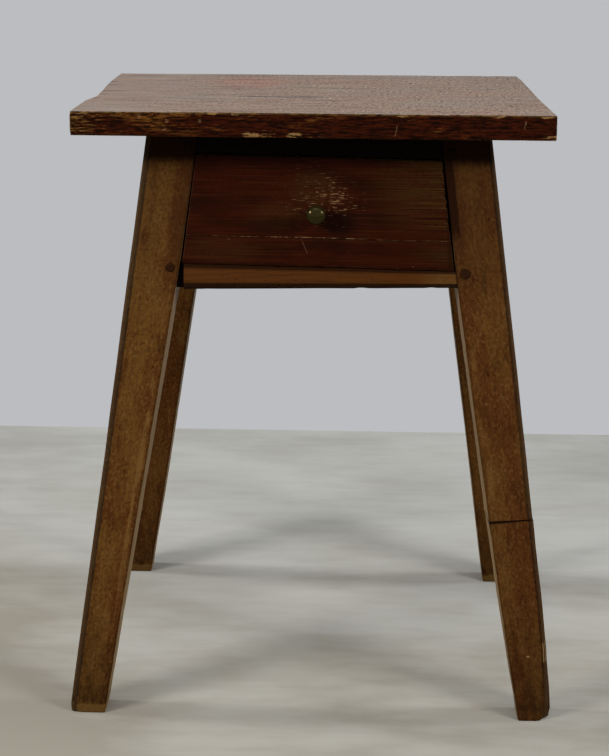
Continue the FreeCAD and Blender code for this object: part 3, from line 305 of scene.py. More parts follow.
def make_mesh(name, points, faces):
    """A smooth-shaded mesh object with its faces outwards."""
    mesh = bpy.data.meshes.new(name)
    mesh.from_pydata(points.tolist(), [], faces)
    net = bmesh.new()
    net.from_mesh(mesh)
    bmesh.ops.recalc_face_normals(net, faces=net.faces)
    net.to_mesh(mesh)
    net.free()
    mesh.polygons.foreach_set("use_smooth", [len(face) == 4 for face in faces])
    piece = bpy.data.objects.new(name, mesh)
    bpy.context.scene.collection.objects.link(piece)
    return piece


def rows_of(collection, name):
    """One vector for each item of a mesh's collection."""
    flat = np.empty(len(collection) * 3)
    collection.foreach_get(name, flat)
    return flat.reshape(-1, 3)


def push_in(piece, depth):
    """Moves each point of a piece inwards along its normal by its own depth."""
    normals = rows_of(piece.data.vertex_normals, "vector")
    points = rows_of(piece.data.vertices, "co") - normals * np.maximum(depth, 0)[:, None]
    piece.data.vertices.foreach_set("co", points.ravel())
    piece.data.update()


def note(piece, name, values):
    """Keeps one number for each point, for the finish to read."""
    attribute = piece.data.attributes.new(name, "FLOAT", "POINT")
    attribute.data.foreach_set("value", np.asarray(values, np.float32))


def wear(points, arris, along, seed, slow=0.0003, chips=0.0014):
    """Depth of slow hollows all over a board and of small chips near its arrises, longer along the grain."""
    hollow_size, chip_size, chip_length, chip_reach, sound = 0.05, 0.0035, 0.013, 0.0035, 0.62
    cell = np.full(3, chip_size)
    cell[along] = chip_length
    hollows = slow * value_noise(points, hollow_size, seed)
    near = np.clip(1 - arris / chip_reach, 0, 1)
    bites = np.clip(value_noise(points, cell, seed + 1) - sound, 0, None) / (1 - sound)
    return hollows + chips * bites * near


# --------------------------------------------------------------------------- finishes as expressions


class Shade:
    """A socket of a finish. Sums and products of these add the Math nodes."""

    def __init__(self, finish, socket):
        self.finish = finish
        self.socket = socket

    def __add__(self, other):
        return self.finish.maths("ADD", self, other)

    def __radd__(self, other):
        return self.finish.maths("ADD", other, self)

    def __sub__(self, other):
        return self.finish.maths("SUBTRACT", self, other)

    def __rsub__(self, other):
        return self.finish.maths("SUBTRACT", other, self)

    def __mul__(self, other):
        return self.finish.maths("MULTIPLY", self, other)

    def __rmul__(self, other):
        return self.finish.maths("MULTIPLY", other, self)

    def __truediv__(self, other):
        return self.finish.maths("DIVIDE", self, other)

    def __pow__(self, other):
        return self.finish.maths("POWER", self, other)

    def __abs__(self):
        return self.finish.maths("ABSOLUTE", self)


class Nodes:
    """The nodes of one material or world. Each method adds a node and gives back its output as a Shade."""

    def __init__(self, owner):
        owner.use_nodes = True
        self.tree = owner.node_tree
        self.tree.nodes.clear()

    def node(self, kind, settings=None, inputs=None, output=0):
        """A node of any type, from its settings and the values or links of its sockets."""
        node = self.tree.nodes.new(kind)
        for name, value in (settings or {}).items():
            setattr(node, name, value)
        for name, value in (inputs or {}).items():
            if isinstance(value, Shade):
                self.tree.links.new(value.socket, node.inputs[name])
            else:
                node.inputs[name].default_value = value
        return Shade(self, node.outputs[output]) if node.outputs else None

    def maths(self, operation, first, second=0.0):
        """One step of arithmetic on numbers."""
        return self.node("ShaderNodeMath", {"operation": operation}, {0: first, 1: second})

    def most(self, *values):
        """The greatest of some values."""
        greatest = values[0]
        for value in values[1:]:
            greatest = self.maths("MAXIMUM", greatest, value)
        return greatest

    def vector(self, operation, first, second=(0.0, 0.0, 0.0), output="Vector"):
        """One step of arithmetic on vectors."""
        return self.node("ShaderNodeVectorMath", {"operation": operation}, {0: first, 1: second}, output)


class Finish(Nodes):
    """One material, in the object's own coordinates."""

    def __init__(self, name):
        self.material = bpy.data.materials.new(name)
        super().__init__(self.material)
        self.position = self.node("ShaderNodeTexCoord", output="Object")

    def axes(self, vector):
        """The three numbers of a vector."""
        split = self.node("ShaderNodeSeparateXYZ", None, {0: vector})
        return [Shade(self, output) for output in split.socket.node.outputs]

    def join(self, x, y, z):
        """A vector of three numbers."""
        return self.node("ShaderNodeCombineXYZ", None, {0: x, 1: y, 2: z})

    def mix(self, share, first, second):
        """One colour going over into another; each is a socket or the name of one of the table's colours."""
        first, second = (c if isinstance(c, Shade) else tint(c) for c in (first, second))
        return self.node("ShaderNodeMix", {"data_type": "RGBA"}, {0: share, 6: first, 7: second}, output=2)

    def coats(self, base, *coats):
        """Lays coats over a colour. Each is a value, where it starts and is full, a share and a colour."""
        for value, start, full, share, over in coats:
            base = self.mix(self.band(value, start, full) * share, base, over)
        return base

    def band(self, value, start, full):
        """A soft step from 0 to 1 as the value goes from start to full."""
        inputs = {0: value, 1: start, 2: full}
        return self.node("ShaderNodeMapRange", {"interpolation_type": "SMOOTHSTEP"}, inputs)

    def near(self, value, place, reach, core):
        """1 where a value is within the core of a place, going to 0 at its reach."""
        return self.band(abs(value - place), reach, core)

    def noise(self, vector, scale, detail=2.0, roughness=0.5):
        """Noise from 0 to 1; the scale is in features per metre along each axis."""
        scaled = self.vector("MULTIPLY", vector, scale)
        inputs = {"Vector": scaled, "Scale": 1.0, "Detail": detail, "Roughness": roughness}
        return self.node("ShaderNodeTexNoise", None, inputs, "Fac")

    def specks(self, vector, scale, size):
        """Small spots at random places: 1 in a spot."""
        scaled = self.vector("MULTIPLY", vector, scale)
        distance = self.node("ShaderNodeTexVoronoi", None, {"Vector": scaled, "Scale": 1.0}, "Distance")
        return self.band(distance, size, size * 0.5)

    def spot(self, centre, size):
        """1 at a place on the table, going to 0 at this distance from it along each axis."""
        inverse = tuple(1 / value for value in size)
        away = self.vector("MULTIPLY", self.vector("SUBTRACT", self.position, centre), inverse)
        return self.band(self.vector("LENGTH", away, output="Value"), 1.0, 0.35)

    def kept(self, name):
        """A number that the piece keeps for each of its points."""
        return self.node("ShaderNodeAttribute", {"attribute_name": name}, None, "Fac")

    def surface(self, base, roughness, bump, strength=0.4, gloss=0.03, metallic=0.0):
        """The finished surface, as a material."""
        inputs = {"Height": bump, "Strength": strength, "Distance": BUMP_HEIGHT}
        normal = self.node("ShaderNodeBump", None, inputs, "Normal")
        shader = self.node("ShaderNodeBsdfPrincipled", None, {
            "Base Color": base, "Roughness": roughness, "Normal": normal,
            "Specular IOR Level": gloss, "Metallic": metallic,
        })
        self.node("ShaderNodeOutputMaterial", None, {"Surface": shader})
        return self.material


class Grain:
    """Softwood seen in any direction: growth rings round a pith, long fibres and slow drifts."""

    def __init__(self, finish, along, lean=(0.0, 0.0), shift=0.0, pith=(0.06, -0.09), ring=0.0045):
        self.finish = finish
        x, y, z = finish.axes(finish.position)
        if along == X:
            axes = (x + shift, y, z)
        elif along == Y:
            axes = (y + shift, x, z)
        else:
            axes = (z + shift, x + z * lean[0], y + z * lean[1])
        self.place = finish.join(*axes)
        drift = finish.noise(self.place, (2.2, 9.0, 9.0), 2.0) - 0.5
        from_pith = finish.vector("SUBTRACT", finish.join(0.0, axes[1], axes[2]), (0.0, *pith))
        radius = finish.vector("LENGTH", from_pith, output="Value") + drift * 0.03
        phase = finish.maths("FRACT", radius / ring)
        self.late = phase ** 3 * finish.band(phase, 1.0, 0.93)
        self.fibre = finish.noise(self.place, (14.0, 700.0, 700.0), 3.0, 0.6)
        self.drift = finish.noise(self.place, (5.0, 30.0, 30.0), 3.0)
        self.mottle = finish.noise(self.place, (60.0, 150.0, 150.0), 3.0, 0.6)
        self.fine = finish.noise(self.place, (230.0, 340.0, 340.0), 3.0, 0.65)


# ---------------------------------------------------------------------------------------- finishes


def uneven(value, noise, width):
    """A value shifted to and fro by a noise, over this width in all."""
    return value + (noise - 0.5) * width


class LegFinish(Finish):
    """Oiled brown softwood with most of its paint gone: blotches, dark specks, a greyed bead, dirty quirks
    also darkened as painted shade.

    Its piece keeps four numbers for each point: how far it is from the inner side (across) and from the sawn
    end (end), and how much it is on the bead (bead) and in the grooves beside it (groove).
    """

    # Heights: where painted shade in the gap beside the rail starts, is full, fades and ends; where the top's
    # painted shadow starts; the chip and the fleck of the splice; the dark rim round the foot; the top of its
    # bare wood.
    rail_gap = (0.4875, 0.4910, 0.5150, 0.5200)
    overhang_shadow_height = 0.628
    chip_height, fleck_height, fleck_across = 0.0795, 0.0755, 0.0232
    rim_height, bare_height = 0.0165, 0.0100

    def __init__(self, name, lean, shift):
        super().__init__(name)
        self.grain = Grain(self, Z, lean, shift, ring=0.0060)
        place = self.grain.place
        self.z = self.axes(self.position)[Z]
        self.across = self.kept("across")
        self.blotch = self.noise(place, (24.0, 70.0, 70.0), 3.0, 0.62)
        self.chatter = self.noise(place, (520.0, 60.0, 60.0), 2.0, 0.6)
        pits = self.specks(place, (260.0, 330.0, 330.0), 0.36) * self.band(self.grain.mottle, 0.50, 0.60)
        holes = self.specks(place, (75.0, 95.0, 95.0), 0.15) * self.band(self.grain.drift, 0.45, 0.55)
        self.spots = self.most(pits * 0.7, holes)

    def oiled(self, red):
        """The wood itself, reddened all over by a share."""
        grain = self.grain
        redder = self.band(uneven(grain.drift, self.blotch, 0.4), 0.40, 0.60) * (1 - red) + red
        wood = self.coats(
            self.mix(redder, "leg", "leg_red"),
            (self.blotch, 0.52, 0.74, 0.42, "leg_dark"),
            (self.blotch, 0.44, 0.28, 0.22, "leg_pale"),
        )
        fibres = self.band(grain.fibre, 0.45, 0.8) * 0.30 + grain.late * 0.12
        wood = self.coats(
            self.mix(fibres, wood, "leg_dark"),
            (grain.fine, 0.50, 0.70, 0.46, "leg_dark"),
            (grain.fine, 0.48, 0.32, 0.34, "leg_pale"),
            (self.chatter, 0.5, 0.75, 0.20, "leg_dark"),
        )
        return self.mix(self.spots * 0.8, wood, "leg_dark")

    def handled(self, wood, dull, rub):
        """Browner towards the head, stained towards the foot, rubbed pale along the inner arris."""
        z, across, blotch = self.z, self.across, self.blotch
        head = self.band(uneven(z, blotch, 0.05), 0.42, 0.60)
        wood = self.mix(head * (0.35 + dull) + dull, wood, "leg_brown")
        inner_head = self.band(uneven(across, blotch, 0.010), 0.019, 0.009) * self.band(z, 0.46, 0.55)
        wood = self.mix(inner_head * 0.45, wood, "leg_brown")
        stain = self.band(self.grain.mottle + blotch, 0.85, 1.15) * self.band(z, 0.17, 0.02)
        wood = self.mix(self.band(z, 0.14, 0.015) * 0.35 + stain * 0.3, wood, "leg_dark")
        rubbed = self.near(across, 0.0075, 0.0042, 0.0015) * self.band(blotch, 0.56, 0.42)
        rubbed = rubbed * self.band(z, 0.50, 0.42) * self.band(z, 0.08, 0.24)
        wood = self.mix(rubbed * rub, wood, "leg_pale")
        return self.mix(self.near(across, 0.0014, 0.0016, 0.0006) * 0.35, wood, "leg_dark")

    def inner_side(self, wood, chipped):
        """A paler inner side under the rail, which is painted light, and painted shade in the gap beside the
        rail's shoulder.
        """
        z = self.z
        gap_start, gap_full, gap_fades, gap_end = self.rail_gap
        inner = self.band(self.across, 0.00025, 0.00012)
        # Painted light: the inner side made paler, as if lit from the side; less so low on the spliced foot.
        side = inner * uneven(0.80, self.grain.fine, 1.2) * (1 - self.band(z, 0.14, 0.09) * 0.45 * chipped)
        wood = self.mix(side * self.band(z, 0.60, 0.50), wood, "leg_side_light_and_chips")
        # Painted shade: the inner side darkened in the gap beside the rail's shoulder.
        by_rail = self.band(uneven(z, self.blotch, 0.006), gap_start, gap_full)
        by_rail = by_rail * self.band(z, gap_end, gap_fades)
        return self.mix(inner * by_rail * 0.92, wood, "dirt_and_shade")

    def overhang_shadow_and_strip(self, wood, stripe):
        """Painted shadow of the top's overhang, in the colour of old paint that is partly kept there, and a
        strip of that paint beside the drawer.
        """
        mottle, height = self.grain.mottle, self.overhang_shadow_height
        # Painted shadow: the leg darkened under the top's overhang.
        overhang_shadow = self.band(uneven(self.z, mottle, 0.010), height - 0.0055, height + 0.0055)
        strip = self.band(uneven(self.across, mottle, 0.003), 0.0108, 0.0085) * stripe
        strip = strip * self.band(uneven(self.z, self.blotch, 0.02), 0.535, 0.560) * 0.80
        return self.mix(self.most(overhang_shadow * 0.85, strip), wood, "drawer_dark_and_shade")

    def cornered(self, wood, bead, groove, chipped):
        """The greyed bead, painted shade as a dark line along its outer side, the dirty grooves beside it
        also darkened as painted shade, the splice's chip and fleck.
        """
        mottle = self.grain.mottle
        outer = self.band(uneven(bead, self.grain.fine, 1.2), 0.6, 1.2)
        wood = self.mix(self.band(bead, 0.0, 0.6) * (0.45 + mottle * 0.4), wood, "leg_grey")
        # Painted shade: a dark line along the bead's outer side.
        wood = self.mix(outer * 0.45, wood, "leg_dark")
        # Dirty grooves, darkened further as painted shade.
        wood = self.mix(groove * (0.42 + mottle * 0.55), wood, "dirt_and_shade")
        chip = self.band(uneven(abs(self.z - self.chip_height), mottle, 0.014), 0.0125, 0.0095)
        chip = chip * self.band(bead, 0.3, 0.5) * self.band(bead, 1.15, 0.95) * chipped
        fleck = self.near(self.across, self.fleck_across, 0.0024, 0.0008)
        fleck = fleck * self.near(self.z, self.fleck_height, 0.0013, 0.0002) * chipped
        return self.mix(self.most(chip * 0.8, fleck), wood, "leg_side_light_and_chips")

    def footed(self, wood, bead, bare_foot):
        """A dark rim round the foot, and bare wood under it."""
        mottle = self.grain.mottle
        rim = self.band(abs(uneven(self.z - self.rim_height, self.blotch, 0.014)), 0.0080, 0.0010)
        wood = self.mix(rim * self.band(mottle, 0.35, 0.55) * 0.55, wood, "leg_dark")
        foot = self.band(uneven(self.z, mottle, 0.008), self.bare_height + 0.0015, self.bare_height - 0.0015)
        foot = foot * self.band(bead, 0.1, 0.0)
        return self.mix(foot * bare_foot * (0.10 + self.blotch * 0.45), wood, "leg_pale")

    def sawn(self, wood, joint):
        """Dirt in the sawn joint, which gapes towards the inner side."""
        gap = self.kept("end") - self.band(self.across, 0.034, 0.006) * 0.0007
        gap = self.band(uneven(gap, self.grain.mottle, 0.0010), 0.0014, 0.0006) * joint
        return self.mix(gap * 0.9, wood, "dirt_and_shade")


def leg_finish(
    name, lean, shift, dull=0.0, red=0.0, rub=0.40, joint=0.0, stripe=0.0, bare_foot=1.0, chipped=0.0
):
    """Finish of one length of leg. Each of the last numbers is how much it has of one kind of wear."""
    shade = LegFinish(name, lean, shift)
    bead = shade.kept("bead")
    groove = shade.kept("groove")
    wood = shade.handled(shade.oiled(red), dull, rub)
    wood = shade.overhang_shadow_and_strip(shade.inner_side(wood, chipped), stripe)
    wood = shade.footed(shade.cornered(wood, bead, groove, chipped), bead, bare_foot)
    wood = shade.sawn(wood, joint)
    grain = shade.grain
    bump = grain.fibre * 0.35 + grain.mottle * 0.5 + grain.fine * 0.4 + shade.chatter * 0.3
    bump = bump - shade.spots * 0.8
    return shade.surface(wood, 0.42 + grain.mottle * 0.22 + groove * 0.2, bump)


def rail_finish(name, along, shift, under=0.0):
    """Orange brown softwood of rail and aprons, with straight rings, a dirty quirk darkened further as
    painted shade, and the top's painted shadow along the aprons' upper part.

    The share under is for the rail below the drawer: dark along the drawer's foot, as soiling and the
    drawer's painted shadow near the rail's plain arrises, and tan at its right end.
    """
    shade = Finish(name)
    grain = Grain(shade, along, shift=shift, pith=(0.05, 0.3), ring=0.0032)
    x, _, z = shade.axes(shade.position)
    blotch = shade.noise(grain.place, (12.0, 60.0, 60.0), 3.0, 0.6)
    wood = shade.mix(shade.band(grain.drift, 0.4, 0.65), "rail", "leg_red")
    wood = shade.coats(wood, (uneven(x, blotch, 0.06), 0.090, 0.140, under * 0.34, "leg_pale"))
    wood = shade.coats(
        shade.mix(grain.late * 0.35, wood, "leg_dark"),
        (grain.fibre, 0.4, 0.75, 0.35, "leg_dark"),
        (blotch, 0.5, 0.75, 0.4, "leg_dark"),
        # Painted shadow of the top's overhang on the upper part of the aprons.
        (uneven(z, blotch, 0.010), 0.622, 0.634, 0.85, "drawer_dark_and_shade"),
    )
    pits = shade.specks(grain.place, (180.0, 330.0, 330.0), 0.3) * shade.band(grain.mottle, 0.52, 0.62)
    wood = shade.coats(
        shade.mix(pits * 0.6, wood, "leg_dark"),
        # Soiling and the drawer's painted shadow near the rail's plain arrises.
        (uneven(shade.kept("arris"), blotch, 0.002), 0.0056, 0.0022, under, "drawer_dark_and_shade"),
        (shade.kept("bead"), 0.2, 0.8, 0.62 + grain.fine * 0.4, "dirt_and_shade"),
    )
    # A dirty quirk, darkened further as painted shade.
    wood = shade.mix(shade.kept("groove") * (0.6 + grain.mottle * 0.6), wood, "dirt_and_shade")
    bump = grain.fibre * 0.6 - grain.late * 0.4 + grain.mottle * 0.3 - pits * 0.5
    return shade.surface(wood, 0.45 + grain.mottle * 0.2, bump)


def rail_paint_and_shade_finish():
    """Rail over the drawer, always in the shade of the top: old dark red paint, half mixed with black as
    painted shade.
    """
    shade = Finish("dark_rail_paint_and_shade")
    grain = Grain(shade, X, shift=0.4)
    paint = shade.mix(shade.band(grain.drift, 0.35, 0.65), "dirt_and_shade", "drawer_dark_and_shade")
    paint = shade.coats(paint, (grain.fibre, 0.55, 0.8, 0.3, "drawer"))
    # Painted shade: black mixed into the paint.
    paint = shade.mix(0.45, paint, "deep_shade")
    bump = grain.fibre * 0.5 + grain.mottle * 0.3
    return shade.surface(paint, 0.55 + grain.mottle * 0.2, bump, gloss=0.04)


class DrawerPaint(Finish):
    """Dark red paint brushed along the board, thin and brown at the right, flaked round the knob."""

    end_slant = 0.053

    def __init__(self):
        super().__init__("drawer_front_paint")
        low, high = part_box("drawer_knob")
        self.knob = (low + high) / 2
        self.low, self.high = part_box("drawer_front")
        self.grain = Grain(self, X, shift=0.9, pith=(0.02, 0.5), ring=0.0030)
        place = self.grain.place
        self.x, self.y, self.z = self.axes(self.position)
        self.lines = self.noise(place, (14.0, 0.0, 620.0), 4.0, 0.75)
        self.wide = self.noise(place, (11.0, 0.0, 40.0), 4.0, 0.6)
        self.ridges = self.noise(place, (10.0, 0.0, 900.0), 2.0, 0.5)
        self.grit = self.noise(place, (260.0, 0.0, 520.0), 3.0, 0.7)
        self.broken = self.noise(place, (60.0, 0.0, 90.0), 3.0, 0.6)
        self.from_crack = self.kept("crack")
        self.from_end = self.high.x - self.x - (self.z - self.low.z) * self.end_slant

    def by_knob(self, across, up, wide, tall):
        """A soft spot this far right of the knob's middle and above it, and this wide and tall."""
        return self.spot(self.knob + Vector((across, 0, up)), (wide, THROUGH, tall))

    def brushed(self):
        """The paint itself, with streaks, ridges and grit along the board."""
        paint = self.mix(0.30 + self.band(self.wide, 0.32, 0.58) * 0.65, "drawer_dark_and_shade", "drawer")
        return self.coats(
            paint,
            (self.lines, 0.50, 0.66, 0.50, "drawer_dark_and_shade"),
            (self.ridges, 0.50, 0.62, 0.45, "drawer_dark_and_shade"),
            (self.ridges, 0.46, 0.34, 0.16, "leg_red"),
            (self.grit, 0.50, 0.70, 0.50, "drawer_dark_and_shade"),
        )

    def stained(self, paint):
        """Thin brown paint towards the top right corner, olive smears round the knob, the knob's painted
        shadow right below it, and a dark patch below its left.
        """
        low, high = self.low, self.high
        corner = self.spot((high.x, low.y, high.z - 0.022), (0.110, 0.2, 0.085))
        thin = self.most(corner, self.band(self.x, high.x - 0.055, high.x) * 0.5)
        cover = self.ridges * 0.7 + self.lines * 0.3 + self.wide * 0.4 + self.grit * 0.3
        paint = self.mix(thin * self.band(cover, 0.98, 0.72) * 0.9, paint, "drawer_olive")
        olive = self.most(
            self.by_knob(-0.004, 0.026, 0.036, 0.026) * 0.7,
            self.by_knob(-0.040, -0.004, 0.046, 0.020) * 0.55,
            self.spot((low.x + 0.045, self.knob.y, low.z + 0.020), (0.055, THROUGH, 0.020)) * 0.5,
        )
        streaky = self.band(self.lines * 0.6 + self.grit * 0.5, 0.44, 0.62)
        paint = self.mix(olive * streaky * 0.75, paint, "drawer_olive")
        # Painted shadow of the knob, to its right and below it.
        knob_shadow = self.by_knob(0.024, -0.010, 0.032, 0.018)
        grime_left = self.by_knob(-0.042, -0.014, 0.040, 0.014)
        return self.mix(self.most(knob_shadow * 0.9, grime_left * 0.55), paint, "drawer_dark_and_shade")

    def bared(self):
        """Where bare wood shows: flakes round the knob, the crack, nicks, a scratch, the arrises."""
        place = self.grain.place
        across, up = self.x - self.knob.x, self.z - self.knob.z
        dashes = self.noise(place, (95.0, 0.0, 980.0), 1.0, 0.4)
        gaps = self.noise(place, (130.0, 0.0, 170.0), 2.0, 0.6)
        here = self.most(
            self.by_knob(0.016, 0.020, 0.026, 0.026),
            self.by_knob(0.010, 0.006, 0.052, 0.010),
            self.by_knob(0.006, 0.020, 0.062, 0.046) * 0.30,
        )
        flakes = self.band(dashes + here * 0.11, 0.61, 0.75) * self.band(gaps, 0.44, 0.58)
        flakes = flakes * (0.15 + self.band(here, 0.02, 0.6) * 0.42) * self.band(here, 0.0, 0.05)
        crack = self.near(self.from_crack, 0.0, 0.0006, 0.0002) * self.band(self.broken, 0.44, 0.60)
        crack = crack * (self.near(self.x, -0.010, 0.090, 0.030) * 0.5 + 0.18)
        nicks = self.specks(place, (42.0, 0.0, 90.0), 0.05) * self.band(self.grain.drift, 0.4, 0.55)
        scratch = self.near(across + (up + 0.030) * 0.42, -0.0155, 0.0006, 0.0002)
        scratch = scratch * self.near(up, -0.035, 0.011, 0.008) * self.band(self.grit, 0.40, 0.55)
        arris = self.band(self.kept("arris"), 0.0012, 0.0004) * self.broken
        return self.most(flakes, crack, nicks * 0.25, scratch * 0.22, arris * 0.12)

    def dirtied_and_shaded(self, paint, seam):
        """Dirt in the crack, a darker ragged right end, and painted shade along the foot and at that end."""
        low, x, z = self.low, self.x, self.z
        ragged = self.band(uneven(self.from_end, self.grain.mottle, 0.006), 0.0065, 0.0018)
        ragged = ragged * self.band(self.lines, 0.48, 0.56)
        ragged = ragged * self.band(z, self.knob.z - 0.04, self.knob.z + 0.02)
        paint = self.mix(self.most(seam * 0.7, ragged * 0.75), paint, "dirt_and_shade")
        # Painted shade along the drawer's foot and at its right end.
        foot = self.band(z - low.z + (x - low.x) * 0.016, 0.0095, 0.0060)
        end = self.band(self.from_end, 0.0052, 0.0026)
        return self.mix(self.most(foot, end) * 0.5, paint, "drawer_dark_and_shade")


def drawer_front_finish():
    """Paint on the drawer front's face and ends, raw wood behind."""
    shade = DrawerPaint()
    bare = shade.bared()
    seam = shade.near(shade.from_crack, -0.0009, 0.0007, 0.0002)
    paint = shade.stained(shade.brushed())
    paint = shade.mix(bare, paint, shade.mix(shade.broken, "fleck", "bare"))
    paint = shade.dirtied_and_shaded(paint, seam)
    behind = shade.band(shade.y, shade.knob.y + 0.020, shade.knob.y + 0.026)
    above_foot = shade.band(shade.z, shade.low.z, shade.low.z + 0.001)
    paint = shade.mix(behind * above_foot, paint, "raw")
    bump = shade.lines * 0.6 + shade.wide * 0.3 + shade.grit * 0.3 - bare * 0.4 - seam * 1.2
    return shade.surface(paint, 0.38 + shade.lines * 0.2, bump, strength=0.25)


# The crack across the top: its middle, how far it wanders, its half length, and how much of that is open.
SPLIT_PLACE, SPLIT_WANDER, SPLIT_REACH, SPLIT_OPEN = (-0.040, -0.062), 0.014, 0.056, 0.034
# Checks in the top's left end: where each is from front to back, and how far it reaches in.
TOP_CHECKS = ((-0.012, 0.050), (-0.050, 0.026), (0.060, 0.030), (0.100, 0.018), (-0.090, 0.020))


def top_cracks(shade, grain, soft):
    """The crack across the top, and the short checks in its left end."""
    x, y, _ = shade.axes(shade.position)
    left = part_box("top_board")[0].x
    wander = shade.noise(grain.place, (16.0, 0.0, 0.0), 2.0)
    split = shade.band(abs(uneven(y - SPLIT_PLACE[Y], wander, SPLIT_WANDER)), 0.0060, 0.0018)
    split = split * shade.near(x, SPLIT_PLACE[X], SPLIT_REACH, SPLIT_OPEN)
    checks = [
        shade.band(abs(uneven(y - depth, soft, 0.012)), 0.0050, 0.0018)
        * shade.band(x, left + reach, left + reach * 0.4)
        for depth, reach in TOP_CHECKS
    ]
    return shade.most(split, shade.most(*checks) * 0.8)


def top_finish():
    """Rubbed red brown paint on the top: fine streaks and specks, a redder patch, two kinds of crack."""
    shade = Finish("top_paint")
    low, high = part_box("top_board")
    grain = Grain(shade, X, shift=1.7, pith=(0.10, 0.3), ring=0.0075)
    x = shade.axes(shade.position)[X]
    lines = shade.noise(grain.place, (9.0, 90.0, 0.0), 5.0, 0.72)
    soft = shade.noise(grain.place, (6.0, 12.0, 0.0), 4.0, 0.65)
    mottle = shade.noise(grain.place, (70.0, 70.0, 0.0), 4.0, 0.7)
    crazing = shade.noise(grain.place, (270.0, 105.0, 0.0), 3.0, 0.7)
    red = shade.spot((-0.088, 0.110, high.z), (0.060, 0.110, THROUGH)) * shade.band(mottle, 0.34, 0.56)
    rosy = shade.spot((-0.200, -0.020, high.z), (0.060, 0.050, THROUGH)) * shade.band(mottle, 0.4, 0.65)
    grainy = shade.band(uneven(x, soft, 0.1), -0.03, 0.09)
    streaks = 1 - grainy * 0.40
    pale_left = shade.band(x, low.x + 0.16, low.x + 0.05)
    speckled = shade.band(uneven(x, soft, 0.2), low.x + 0.03, low.x + 0.15) + grainy * 0.35
    upper = shade.mix(shade.band(soft, 0.46, 0.68) * 0.20, "top", "top_red")
    upper = shade.coats(upper, (soft, 0.50, 0.34, 0.45, "top_grey"))
    upper = shade.mix(shade.most(red * 0.65, rosy * 0.20), upper, "top_red")
    upper = shade.coats(
        upper,
        (lines, 0.49, 0.66, streaks * 0.56, "leg_brown"),
        (lines, 0.47, 0.30, streaks * 0.66, "top_pale"),
        (mottle, 0.54, 0.72, 0.30, "leg_brown"),
    )
    upper = shade.coats(
        shade.mix(pale_left * 0.30, upper, "top_grey"),
        (lines, 0.55, 0.40, pale_left * 0.15, "top_pale"),
        (crazing, 0.51, 0.66, 0.16 + speckled * 0.44, "leg_brown"),
        (crazing, 0.48, 0.34, 0.08 + speckled * 0.36, "top_pale"),
    )
    freckles = shade.specks(grain.place, (95.0, 40.0, 0.0), 0.24) * shade.band(mottle, 0.46, 0.56)
    dots = shade.specks(grain.place, (48.0, 18.0, 0.0), 0.11)
    freckles = shade.most(freckles * 0.6, dots * 0.9) * speckled
    upper = shade.mix(freckles * 0.85, upper, "leg_dark")
    cracks = top_cracks(shade, grain, soft)
    upper = shade.mix(cracks * 0.9, upper, "dirt_and_shade")
    bump = lines * 0.5 + mottle * 0.4 + crazing * 0.5 - freckles * 0.4 - cracks
    return shade.surface(upper, 0.40 + lines * 0.2, bump, strength=0.3, gloss=0.2)


# Bare places along the foot of the top's front edge: middle, half length, half height and share.
FOOT_PATCHES = (
    (-0.0695, 0.0175, 0.0062, 1.0), (-0.0225, 0.0155, 0.0066, 1.0), (-0.050, 0.016, 0.0110, 0.75),
)
# Chips below its upper arris: middle, half length and share.
ARRIS_CHIPS = (
    (-0.250, 0.030, 0.9), (-0.215, 0.020, 0.7), (-0.110, 0.010, 1.0), (-0.085, 0.010, 1.0),
    (0.092, 0.014, 0.9), (0.122, 0.014, 0.6), (0.194, 0.016, 0.9), (0.244, 0.016, 1.0),
)
# Scratches across it: where each would meet the top, its lean, and the heights of its ends.
EDGE_SCRATCHES = ((0.2228, 0.12, 0.681, 0.672), (0.0885, 0.20, 0.675, 0.664))
# Nicks in it: place along it, and height above its foot.
EDGE_NICKS = ((-0.1875, 0.0205), (-0.1581, 0.0164), (-0.1233, 0.0163), (-0.1609, 0.0074))


